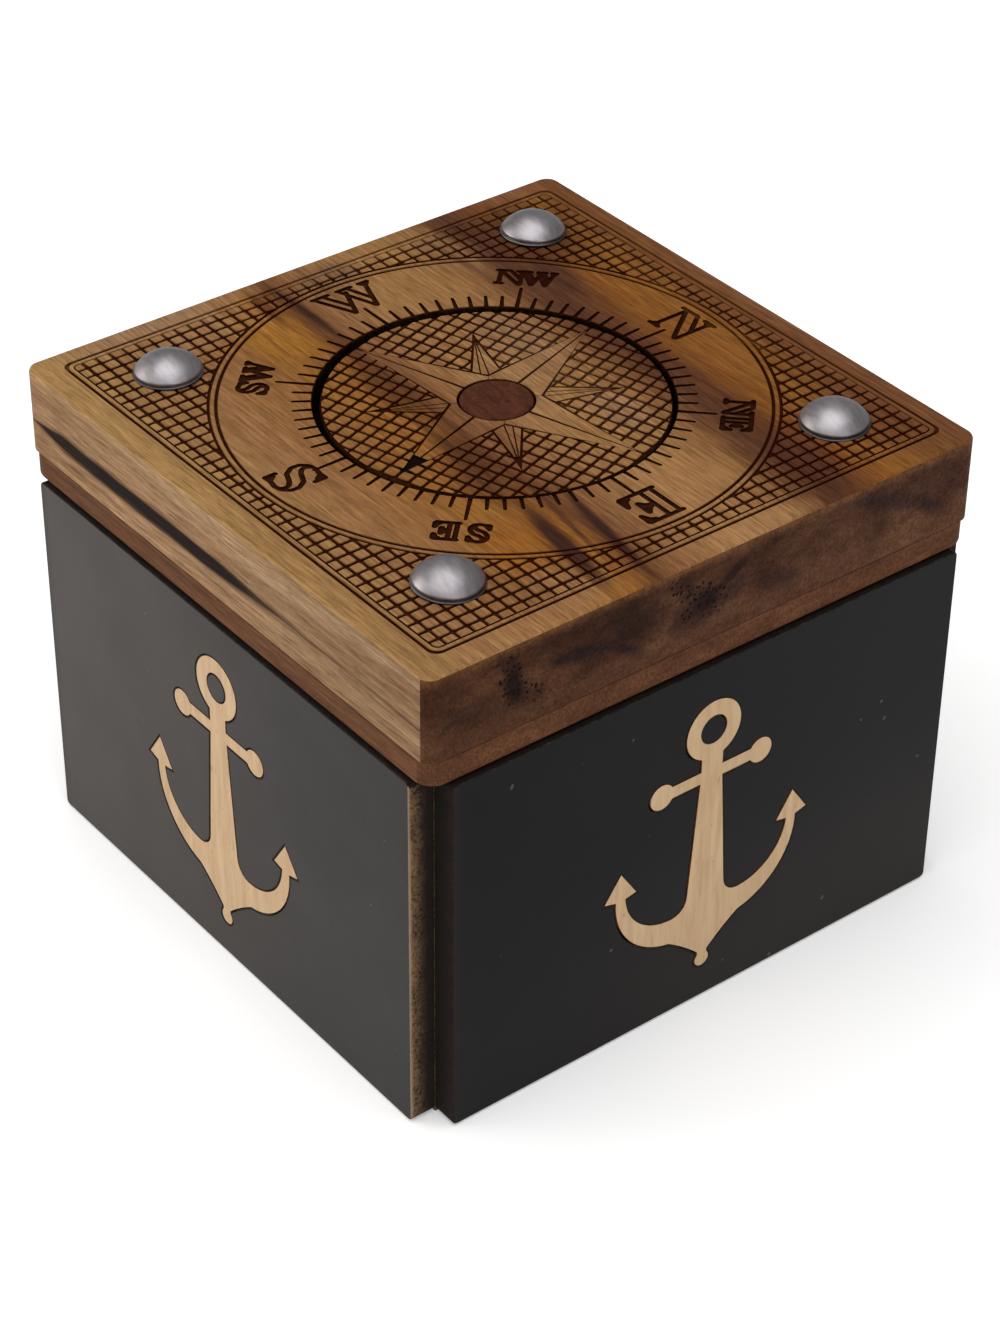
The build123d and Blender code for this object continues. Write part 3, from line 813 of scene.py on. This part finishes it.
def field_prism(loops, top):
    """The part of the face that a hatch fills, as a solid to trim the grid with."""
    shell = Shell()
    feet = [shell.loop(points, top - burn_depth - field_root) for points in loops]
    heads = [shell.loop(points, top + field_head) for points in loops]
    for foot, head in zip(feet, heads):
        shell.band(foot, head, 0)
    shell.cap(feet, 0, up=False)
    shell.cap(heads, 0)
    return shell.finish("field_pattern", [])


def hatch_tree():
    """Tiles on a slightly wavy grid, each a little off in size and turn, trimmed to their field."""
    tree = bpy.data.node_groups.new("burnt_hatch", "GeometryNodeTree")
    sockets = {
        "Object": ("Tile", "Field"),
        "Float": ("Pitch", "Turn"),
        "Int": ("Tiles across", "Seed"),
        "Material": ("Plain", "Browned", "Burnt"),
    }
    for kind, names in sockets.items():
        for name in names:
            tree.interface.new_socket(name, in_out="INPUT", socket_type=f"NodeSocket{kind}")
    tree.interface.new_socket("Geometry", in_out="OUTPUT", socket_type="NodeSocketGeometry")

    def add(kind, inputs=None, **settings):
        return add_node(tree, kind, inputs, settings)

    given = add("NodeGroupInput").outputs
    gaps = add("ShaderNodeMath", {0: given["Tiles across"], 1: 1.0}, operation="SUBTRACT").outputs[0]
    span = add("ShaderNodeMath", {0: gaps, 1: given["Pitch"]}, operation="MULTIPLY").outputs[0]
    count = given["Tiles across"]
    grid = add("GeometryNodeMeshGrid", {0: span, 1: span, 2: count, 3: count})
    drift = add("ShaderNodeTexNoise", {"Scale": wave_scale, "Detail": 1.0}).outputs["Color"]
    drift = add("ShaderNodeVectorMath", {0: drift, 1: (0.5, 0.5, 0.5)}, operation="SUBTRACT").outputs[0]
    inputs = {0: drift, 1: (wave_reach, wave_reach, 0.0)}
    drift = add("ShaderNodeVectorMath", inputs, operation="MULTIPLY").outputs[0]
    wavy = add("GeometryNodeSetPosition", {"Geometry": grid.outputs[0], "Offset": drift})
    tile = add("GeometryNodeObjectInfo", {"Object": given["Tile"]})
    inputs = {"Seed": given["Seed"], 0: (tile_least, tile_least, 1.0), 1: (tile_most, tile_most, 1.0)}
    wander = add("FunctionNodeRandomValue", inputs, data_type="FLOAT_VECTOR")
    inputs = {"Seed": given["Seed"], 0: (0.0, 0.0, -tile_lean), 1: (0.0, 0.0, tile_lean)}
    lean = add("FunctionNodeRandomValue", inputs, data_type="FLOAT_VECTOR")
    inputs = {"Points": wavy.outputs[0], "Instance": tile.outputs["Geometry"]}
    inputs.update({"Rotation": lean.outputs[0], "Scale": wander.outputs[0]})
    tiles = add("GeometryNodeInstanceOnPoints", inputs)
    twist = add("ShaderNodeCombineXYZ", {"Z": given["Turn"]})
    turned = add("GeometryNodeTransform", {"Geometry": tiles.outputs[0], "Rotation": twist.outputs[0]})
    solid = add("GeometryNodeRealizeInstances", {0: turned.outputs[0]})
    field = add("GeometryNodeObjectInfo", {"Object": given["Field"]})
    trim = add("GeometryNodeMeshBoolean", operation="INTERSECT", solver="MANIFOLD")
    tree.links.new(field.outputs["Geometry"], trim.inputs["Mesh 2"])
    tree.links.new(solid.outputs[0], trim.inputs["Mesh 2"])
    facing = add("ShaderNodeSeparateXYZ", {0: add("GeometryNodeInputNormal").outputs[0]}).outputs[2]
    flat = add("FunctionNodeCompare", {0: facing, 1: flat_from}, operation="GREATER_THAN").outputs[0]
    eased = add("FunctionNodeCompare", {0: facing, 1: eased_from}, operation="GREATER_THAN").outputs[0]
    burnt = add("GeometryNodeSetMaterial", {"Geometry": trim.outputs[0], "Material": given["Burnt"]})
    inputs = {"Geometry": burnt.outputs[0], "Selection": eased, "Material": given["Browned"]}
    browned = add("GeometryNodeSetMaterial", inputs)
    inputs = {"Geometry": browned.outputs[0], "Selection": flat, "Material": given["Plain"]}
    plain = add("GeometryNodeSetMaterial", inputs)
    tree.links.new(plain.outputs[0], add("NodeGroupOutput").inputs[0])
    return tree


def plain_mesh(holder, name):
    """The evaluated object's mesh, as a new object with no modifier."""
    graph = bpy.context.evaluated_depsgraph_get()
    data = bpy.data.meshes.new_from_object(holder.evaluated_get(graph))
    data.name = name
    piece = put_in(name, data)
    bpy.data.objects.remove(holder)
    return piece


hatch = hatch_tree()


def lay_hatch(name, loops, top, across, turn, seed):
    """One hatched field, trimmed to its loops."""
    tile, field = make_tile(top), field_prism(loops, top)
    holder = put_in("hatch_holder", bpy.data.meshes.new("hatch_holder"))
    modifier = holder.modifiers.new("hatch", "NODES")
    modifier.node_group = hatch
    values = {"Tile": tile, "Field": field, "Pitch": hatch_pitch * mm, "Tiles across": across}
    values.update({"Turn": math.radians(turn), "Seed": seed})
    values.update({"Plain": top_wood, "Browned": browned_wood, "Burnt": burnt_wood})
    for item in hatch.interface.items_tree:
        if item.in_out == "INPUT":
            modifier[item.identifier] = values[item.name]
    piece = plain_mesh(holder, name)
    for spare in (tile, field):
        bpy.data.objects.remove(spare)
    return piece


lid_tiles_across, lid_seed = 39, 3
field_half = frame_inner - line_half
field = [
    rounded_square(field_half, field_half, field_corner, corner_steps),
    moved(circle(circle_outer + line_half, clockwise=True), pattern_centre),
]
lid_hatch = lay_hatch("lid_hatch_tiles", field, slab_top, lid_tiles_across, 0.0, lid_seed)
install(lid_hatch, "lid", "lid_wood")


# Compass ring.
# A plain raised band round the dial, with 72 ticks burnt in from its inner edge.
# The eight compass points are outlined serif letters, tops outwards.
band_outer = circle_inner - line_half
tick_count, ticks_per_point, tick_lead = 72, 9, 1
tick_short, tick_long, tick_root, tick_end = 28.3, 31.0, 0.72, 0.5
letter_radius, small_radius = 34.0, 33.95
large_stroke, small_stroke, stroke_point = 0.8, 0.78, 0.4
cut_past = 0.5
cut_low, cut_high = burnt_floor - cut_past, slab_top + cut_past

s_curve = [(2.4, 3.4), (1.2, 3.3), (-0.1, 3.6), (-1.4, 3.3), (-2.3, 2.3), (-2.4, 1.0), (-1.5, -0.4)]
s_curve += [(0.3, -1.2), (1.2, -1.9), (1.3, -2.7), (0.9, -3.4)]
s_serif = [[(2.5, 3.5), (2.5, 1.5)], [(2.2, 3.3), (2.2, 2.2), (1.5, 3.1)]]


def half_turned(line):
    """A line of a letter turned by 180 degrees."""
    return [(-x, -y) for x, y in line]


letters = {
    "N": [
        [(-2.3, 3.2), (-2.3, -3.2)],
        [(-3.4, -3.3), (-1.2, -3.3)],
        [(-2.8, -3.1), (-2.3, -2.5), (-1.8, -3.1)],
        [(-3.4, 3.3), (0.0, 3.4)],
        [(-2.3, 3.1), (2.5, -3.5)],
        [(0.0, 3.4), (2.8, -0.5)],
        [(2.9, 3.2), (2.9, -3.6), (2.5, -3.5)],
        [(1.6, 3.3), (4.0, 3.3)],
        [(2.3, 3.1), (2.9, 2.5), (3.4, 3.1)],
    ],
    "E": [
        [(-3.1, -3.4), (3.1, -3.4)],
        [(-3.1, 3.4), (3.0, 3.4)],
        [(-2.4, -3.4), (-2.4, 3.4)],
        [(-0.6, -3.4), (-0.6, 3.4)],
        [(-0.5, 0.0), (0.6, 0.45), (1.4, 1.4), (1.4, -1.4), (0.6, -0.45), (-0.5, 0.0)],
        [(0.7, 0.3), (1.1, 0.8), (1.1, -0.8), (0.7, -0.3)],
        [(3.1, -3.4), (3.1, -1.1), (2.4, -2.6), (1.6, -3.1)],
        [(2.8, -3.2), (2.8, -2.1)],
        [(3.0, 3.4), (3.0, 1.3), (2.3, 2.7), (1.5, 3.1)],
        [(2.7, 3.2), (2.7, 2.2)],
    ],
    "S": [s_curve, half_turned(s_curve), *s_serif, *map(half_turned, s_serif)],
    "W": [
        [(-5.1, 3.4), (-2.0, 3.4)],
        [(-4.7, 3.3), (-1.7, -3.5)],
        [(-3.1, 3.3), (-0.9, -1.7)],
        [(-1.7, -3.5), (0.6, 2.6)],
        [(-0.6, 3.4), (2.2, 3.4)],
        [(-0.3, 3.3), (2.2, -3.5)],
        [(1.3, 3.3), (3.0, -1.5)],
        [(2.2, -3.5), (4.5, 3.2)],
        [(3.4, 3.4), (5.3, 3.4)],
        [(3.7, 3.1), (4.4, 2.6), (4.9, 3.1)],
    ],
}
large_letter, small_letter, letter_step = 0.97, 0.58, 4.3
small_widths = {"N": 1.04, "E": 0.94, "S": 0.9, "W": 0.89}
words = [("N", 90), ("NE", 45), ("E", 0), ("SE", -45), ("S", -90), ("SW", -135), ("W", 180), ("NW", 135)]


def bar(shell, start, end, root, tip):
    """A straight cut with pointed-off ends, as a closed prism."""
    along = (end - start).normalized()
    across = Vector((-along.y, along.x)) / 2
    near, far = across * root, across * tip
    points = [start - near, end - far, end + along * tip * stroke_point]
    points += [end + far, start + near, start - along * root * stroke_point]
    foot, head = shell.stack([(points, cut_low), (points, cut_high)], [0])
    shell.cap([foot], 0, up=False)
    shell.cap([head], 0)


def cut(piece, cutter):
    """Takes the cutter's volume out of the piece, and leaves the cut faces burnt."""
    modifier = piece.modifiers.new("cut", "BOOLEAN")
    modifier.operation = "DIFFERENCE"
    modifier.solver = "EXACT"
    modifier.use_self = True
    modifier.material_mode = "TRANSFER"
    modifier.object = cutter
    name = piece.name
    piece.name = "uncut"
    result = plain_mesh(piece, name)
    bpy.data.objects.remove(cutter)
    return result


shell = Shell()
ring_outline = moved(circle(band_outer), pattern_centre)
ring_mouth = moved(circle(well_radius, clockwise=True), well_centre)
shell.board([ring_outline, ring_mouth], burnt_floor - rail_root, slab_top, rail_arris)
compass_ring = shell.finish("compass_ring", lid_finishes)

shell = Shell()
ring_middle = Vector(pattern_centre)
for index in range(tick_count):
    angle = math.radians(360 / tick_count * index)
    reach = tick_short if index % ticks_per_point else tick_long
    outward = Vector((math.cos(angle), math.sin(angle)))
    start, end = ring_middle + outward * (well_radius - tick_lead), ring_middle + outward * reach
    bar(shell, start, end, tick_root, tick_end)
for word, bearing in words:
    angle = math.radians(bearing)
    outward = Vector((math.cos(angle), math.sin(angle)))
    clockwise = Vector((outward.y, -outward.x))
    alone = len(word) == 1
    size, stroke = (large_letter, large_stroke) if alone else (small_letter, small_stroke)
    radius = letter_radius if alone else small_radius
    for place, letter in enumerate(word):
        middle = 0.0 if alone else (place - 0.5) * letter_step
        width = size if alone else size * small_widths[letter]
        for line in letters[letter]:
            points = [
                ring_middle + outward * (radius + size * up) + clockwise * (middle + width * right)
                for right, up in line
            ]
            for start, end in zip(points, points[1:]):
                bar(shell, start, end, stroke, stroke)
cutter = shell.finish("ring_cutter", [charred_wood])
compass_ring = cut(compass_ring, cutter)
install(compass_ring, "lid", "lid_wood")


# Compass dial.
# A round plate of the same board, hatched like the lid, with an eight-pointed star left standing.
# It stands 18 degrees off the lid's pattern, and one point's tip is burnt black as the pointer.
star_tip, star_valley, star_clear = 23.2, 6.4, 0.2
star_waist, star_bay = (7.35, 4.2), (13.1, 13.1)
small_end, small_tip, small_slope = 15.0, 17.1, 0.222
small_foot, small_lean, small_gap = 6.65, 0.72, 0.075
small_lines = (-1.0, -0.12, 0.45, 1.0)
star_arris, small_arris, star_point = 0.07, 0.04, 0.08
hub_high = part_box("hub_plug")[1]
hub_radius, hub_ring, hub_sides = hub_high.x / mm, 0.32, 64
hub_edge = hub_radius + hub_ring
dial_floor, pointer_length = dial_top - burn_depth, 4.9
rim_pull, rim_drop, rim_scorch = 0.15, 0.25, 1.3


def spun(points, angle):
    """Points turned about the dial's centre, in degrees."""
    c, s = math.cos(math.radians(angle)), math.sin(math.radians(angle))
    return [(x * c - y * s, x * s + y * c) for x, y in points]


shell = Shell()
rim = [(circle(dial_radius), dial_bottom), (circle(dial_radius), dial_floor - rim_drop)]
rim.append((circle(dial_radius - rim_pull), dial_floor))
foot, ledge = shell.stack(rim, [well_slot, charred_slot])
scorch = shell.loop(circle(dial_radius - rim_scorch), dial_floor)
hub_hole = circle(hub_edge, hub_sides)
centre, centre_foot = shell.stack([(hub_hole, dial_floor), (hub_hole, dial_bottom)], [well_slot])
shell.cap([ledge, scorch], charred_slot)
shell.cap([scorch, centre], burnt_slot)
shell.cap([foot, centre_foot], well_slot, up=False)
valley = star_valley * math.cos(math.radians(45))
tip_line = star_valley * math.sin(math.radians(45)) / (star_tip - valley)
small_half = (small_tip - small_end) * small_slope
small_foot_half = (small_tip - small_foot) * small_slope / (1 + small_slope * small_lean)
star_foot = dial_floor - rail_root
for index in range(4):
    turn = 90 * index + dial_turn
    end = star_tip - pointer_length if index == 3 else star_tip
    cut_off = [(end, (star_tip - end) * tip_line)] if index == 3 else []
    for flip in (1, -1):
        half = [(end, star_point)] + cut_off + [(valley, valley)] + arc((0, 0), hub_edge, 45, 2, 4)
        half = [(x, y * flip) for x, y in half][::flip]
        shell.board([spun(half, turn)], star_foot, dial_top, star_arris)
    for low_line, high_line in zip(small_lines, small_lines[1:]):
        feet = [high_line * small_foot_half - small_gap, low_line * small_foot_half + small_gap]
        ends = [low_line * small_half + small_gap, high_line * small_half - small_gap]
        sliver = [(small_foot + small_lean * abs(v), v) for v in feet] + [(small_end, v) for v in ends]
        shell.board([spun(sliver, turn + 45)], star_foot, dial_top, small_arris)
compass_plate = shell.finish("compass_plate", lid_finishes)
install(compass_plate, "dial", "lid_wood", "compass_disc")

dial_tiles_across, dial_seed = 22, 8
rim_inset, rim_shift = 0.25, (0.15, -0.09)
corner = [(star_tip + star_clear, 0.0), star_waist, star_bay, star_waist[::-1]]
star_outline = []
for index in range(4):
    star_outline += spun(corner, 90 * index + dial_turn)
scorched_rim = moved(circle(dial_radius - rim_inset), rim_shift)
field = [scorched_rim, star_outline[::-1]]
dial_hatch = lay_hatch("dial_hatch_tiles", field, dial_top, dial_tiles_across, dial_turn, dial_seed)
install(dial_hatch, "dial", "lid_wood")


# Hub plug.
# A dark stained round plug, pressed into the dial over the shaft's end, with softly worn edges.
def stained(name, pale, dark):
    wood = Finish(name, roughness=0.65, specular=0.04)
    grain = wood.noise((0.4, 1.1, 0.4), detail=6.0, rough=0.7)
    specks = wood.spread(wood.noise((2.6, 2.6, 2.6), detail=3.0, shift=(1, 6, 3)), 0.5, 0.68, 0.0, 0.5)
    colour = wood.mix(specks, wood.ramp(grain, [(0.3, dark), (0.7, pale)]), tone(48, 24, 18))
    return wood.done(colour, wood.noise((1.6, 2.4, 1.6), detail=5.0, shift=(4, 4, 4)), 0.1)


def lathe(shell, profile, count):
    """A closed round solid, from its radii and heights."""
    outlines = [(circle(radius, count), height) for radius, height in profile]
    foot, head = shell.stack(outlines, [0] * len(profile))
    shell.cap([head], 0)
    shell.cap([foot], 0, up=False)


hub_wood = stained("hub_wood", tone(96, 54, 37), tone(60, 32, 22))
hub_top, hub_gap = hub_high.z / mm, 0.1
worn_edge = [(0.0, -0.5), (0.06, -0.2), (0.22, -0.06), (0.6, 0.0), (2.2, 0.0), (3.9, -0.02)]
profile = [(hub_radius, dial_bottom + hub_gap)]
profile += [(hub_radius - pull, hub_top + drop) for pull, drop in worn_edge]
shell = Shell()
lathe(shell, profile, hub_sides)
hub = shell.finish("round_hub_plug", [hub_wood])
install(hub, "dial", "hub_wood", "hub_plug")


# Domed nails.
# Pressed steel heads with a thin rolled rim, brushed by hand and a little dull.
# Each was driven slightly askew.
def pewter():
    metal = Finish("nail_metal", roughness=0.4)
    metal.shader.inputs["Metallic"].default_value = 1.0
    brushed = metal.noise((0.4, 1.6, 0.7), detail=5.0, rough=0.65, turn=(0.3, 0.2, 0.9))
    cloud = metal.noise((0.16, 0.16, 0.2), detail=3.0, shift=(3, 9, 2))
    colour = metal.ramp(brushed, [(0.3, tone(150, 145, 148)), (0.7, tone(172, 167, 170))])
    # Painted shade: the head darkens toward its foot, in the groove between the dome and the rim.
    darkening = metal.spread(metal.z, slab_top + 0.35, slab_top + 0.95, 0.75, 0.0)
    metal.rough(metal.calc("MULTIPLY_ADD", brushed, 0.12, metal.spread(cloud, 0.35, 0.7, 0.36, 0.48)))
    return metal.done(metal.mix(darkening, colour, tone(52, 48, 50)), brushed, 0.012)


nail_metal = pewter()
nail_height, nail_seat, dome_half, dome_steps = 3.3, 0.62, 4.96, 12
head_sides, shank_sides = 48, 12
nail_shank = [(0.9, -11.0), (0.9, 0.4)]
nail_head = [(4.2, 0.3), (4.7, 0.1), (4.98, 0.1), (5.08, 0.2)]
nail_head += [(5.05, 0.34), (4.9, 0.4), (4.72, 0.46), (4.74, 0.56)]
dome_rise = nail_height - nail_seat
dome_radius = (dome_half**2 + dome_rise**2) / (2 * dome_rise)
dome_spread = math.degrees(math.asin(dome_half / dome_radius))
for step in range(dome_steps):
    t = math.radians(dome_spread * (1 - step / dome_steps))
    height = nail_height - dome_radius * (1 - math.cos(t))
    nail_head.append((dome_radius * math.sin(t), height))
tilts = [(-1.5, 2.2), (1.2, 1.6), (-2.4, -0.6), (1.6, -1.4)]
for index, (lean_x, lean_y) in enumerate(tilts, 1):
    node = f"corner_nail_{index}"
    low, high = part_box(node)
    shell = Shell()
    lathe(shell, nail_head, head_sides)
    lathe(shell, nail_shank, shank_sides)
    lean = Matrix.Rotation(math.radians(lean_x), 4, "X") @ Matrix.Rotation(math.radians(lean_y), 4, "Y")
    spot = Matrix.Translation(((low.x + high.x) / 2, (low.y + high.y) / 2, slab_top * mm))
    nail = shell.finish(f"domed_nail_{index}", [nail_metal], spot @ lean)
    for face in nail.data.polygons:
        face.use_smooth = True
    install(nail, "lid", "nail_metal", node)


# Lid's lower plate.
# A thinner board glued under the slab, with its lower edges and corners rounded over.
def lower_wood(name, pale, dark, along):
    wood = Finish(name, roughness=0.62, specular=0.04)
    stretch = (0.04, 0.9, 0.9) if along == "x" else (0.12, 0.12, 0.35)
    broad = wood.noise(stretch, detail=5.0, rough=0.6, shift=(6, 2, 7))
    return wood.done(*fibres(wood, wood.ramp(broad, [(0.3, dark), (0.7, pale)]), along), 0.05)


plate_long = lower_wood("lower_plate_long", tone(108, 74, 50), tone(87, 57, 37), "x")
plate_end = lower_wood("lower_plate_end", tone(105, 69, 47), tone(77, 49, 33), "end")
plate_low, plate_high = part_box("lid_plate")
plate_bottom, plate_top = plate_low.z / mm, plate_high.z / mm
plate_half, plate_corner = lid_half - 0.05, 3.0
under = [(0.8, 0.0), (0.5, 0.04), (0.28, 0.13), (0.11, 0.3), (0.03, 0.52), (0.0, 0.8)]
edge = [(pull, plate_bottom + rise) for pull, rise in under]
edge += [(0.0, plate_top - foot_rise), (foot_arris, plate_top)]
outline = moved(rounded_square(plate_half, plate_half, plate_corner, steps=7), lid_centre)
shell = Shell()
foot, crown = shell.stack([(inset(outline, pull), height) for pull, height in edge], [0] * len(edge))
hole, hole_foot = shell.stack([(hole_outline, plate_top), (hole_outline, plate_bottom)], [0])
shell.cap([crown, hole], 0)
shell.cap([foot, hole_foot], 0, up=False)
lower_plate = shell.finish("rounded_lower_plate", [plate_long, plate_end])
by_facing(lower_plate, 0, 1)
install(lower_plate, "lid", "lower_wood", "lid_plate")


# Bolt carrier, cam, washer, screws and pins.
# The lock hangs under the lid: a planed block, a birch ply cam, a nylon washer, steel pins
# and brass screws.
ply_pair = 1.2


def plies(name):
    """Birch plywood: thin layers, pale and brown by turns."""
    wood = Finish(name, roughness=0.6, specular=0.3)
    layer = wood.calc("FRACT", wood.calc("MULTIPLY", wood.z, 1 / ply_pair))
    grain = wood.noise((0.2, 2.6, 2.0), detail=5.0)
    pale = wood.ramp(grain, [(0.3, tone(196, 160, 112)), (0.7, tone(222, 190, 146))])
    colour = wood.mix(wood.spread(layer, 0.46, 0.54, 0.0, 0.45), pale, tone(128, 90, 56))
    return wood.done(colour, grain, 0.04)


def metal(name, bright, dull, roughness):
    finish = Finish(name, roughness=roughness)
    finish.shader.inputs["Metallic"].default_value = 1.0
    wear = finish.noise((1.2, 1.2, 1.2), detail=6.0, rough=0.6)
    finish.paint(finish.ramp(wear, [(0.3, dull), (0.7, bright)]))
    finish.rough(finish.spread(wear, 0.3, 0.7, roughness - 0.08, roughness + 0.12))
    return finish.material


def nylon():
    plastic = Finish("nylon_washer", roughness=0.45)
    cloud = plastic.noise((0.5, 0.5, 0.5), detail=3.0)
    plastic.paint(plastic.ramp(cloud, [(0.3, tone(214, 210, 200)), (0.7, tone(230, 227, 220))]))
    return plastic.material


brass = metal("brass_screws", tone(214, 178, 104), tone(160, 122, 62), 0.28)
steel = metal("steel_pins", tone(196, 196, 200), tone(150, 150, 154), 0.25)
dress(["bolt_carrier"], maple("carrier_wood", tone(186, 148, 104), tone(150, 112, 74)))
dress(["cam_plate"], plies("cam_plywood"))
dress(["dial_washer"], nylon())
dress(["cam_screw"] + [f"carrier_screw_{index}" for index in range(1, 5)], brass)
dress([f"bolt_pin_{side}" for side in sides], steel)


# Floor, light and camera.
# A pale floor, a large soft light overhead, weaker ones from the left and the right,
# and the photograph's long lens.
floor_reach, floor_glow, sky_glow = 6.0, 0.24, 0.26
white = (1.0, 1.0, 1.0, 1.0)
middle = Vector((0.0, 0.0, 0.045))


def stage_floor():
    data = bpy.data.meshes.new("stage_floor")
    corners = [(x * floor_reach, y * floor_reach, 0) for x, y in ((-1, -1), (1, -1), (1, 1), (-1, 1))]
    data.from_pydata(corners, [], [(0, 1, 2, 3)])
    paper = Finish("stage_paper", roughness=0.9, specular=0.1)
    paper.shader.inputs["Base Color"].default_value = white
    paper.shader.inputs["Emission Color"].default_value = white
    paper.shader.inputs["Emission Strength"].default_value = floor_glow
    data.materials.append(paper.material)
    put_in("stage_floor", data)


def softbox(name, spot, size, power, colour=(1.0, 1.0, 1.0)):
    data = bpy.data.lights.new(name, "AREA")
    data.size, data.energy, data.color = size, power, colour
    lamp = put_in(name, data)
    lamp.location = spot
    lamp.rotation_euler = (middle - lamp.location).to_track_quat("-Z", "Y").to_euler()


stage_floor()
softbox("overhead_softbox", (0.1, -0.25, 1.5), 1.7, 18.5)
softbox("left_softbox", (-0.62, -0.62, 0.28), 0.55, 3.0, (1.0, 0.94, 0.88))
softbox("right_softbox", (1.1, -0.2, 0.42), 0.7, 2.2)
world = bpy.data.worlds.new("studio")
world.use_nodes = True
world.node_tree.nodes["Background"].inputs["Color"].default_value = white
world.node_tree.nodes["Background"].inputs["Strength"].default_value = sky_glow
bpy.context.scene.world = world
bpy.context.scene.view_settings.view_transform = "Standard"

azimuth, elevation, roll = math.radians(51.792), math.radians(35.995), math.radians(0.604)
camera_distance, aim_aside, aim_height = 0.49917, 0.872, 31.763
focal_pixels, long_side_pixels, sensor = 3385.8, 1320, 36.0
target = Vector((math.cos(azimuth) * aim_aside * mm, math.sin(azimuth) * aim_aside * mm, aim_height * mm))
flat = math.cos(elevation)
back = Vector((math.sin(azimuth) * flat, -math.cos(azimuth) * flat, math.sin(elevation)))
level = (-back).cross(Vector((0, 0, 1))).normalized()
rise = level.cross(-back)
right = math.cos(roll) * level + math.sin(roll) * rise
up = math.cos(roll) * rise - math.sin(roll) * level
lens = bpy.data.cameras.new("photo_camera")
lens.sensor_width = sensor
lens.lens = focal_pixels * sensor / long_side_pixels
lens.clip_start, lens.clip_end = 0.05, 20.0
camera = put_in("photo_camera", lens)
turn = Matrix((right, up, back)).transposed().to_4x4()
camera.matrix_world = Matrix.Translation(target + back * camera_distance) @ turn
bpy.context.scene.camera = camera

bpy.context.view_layer.update()
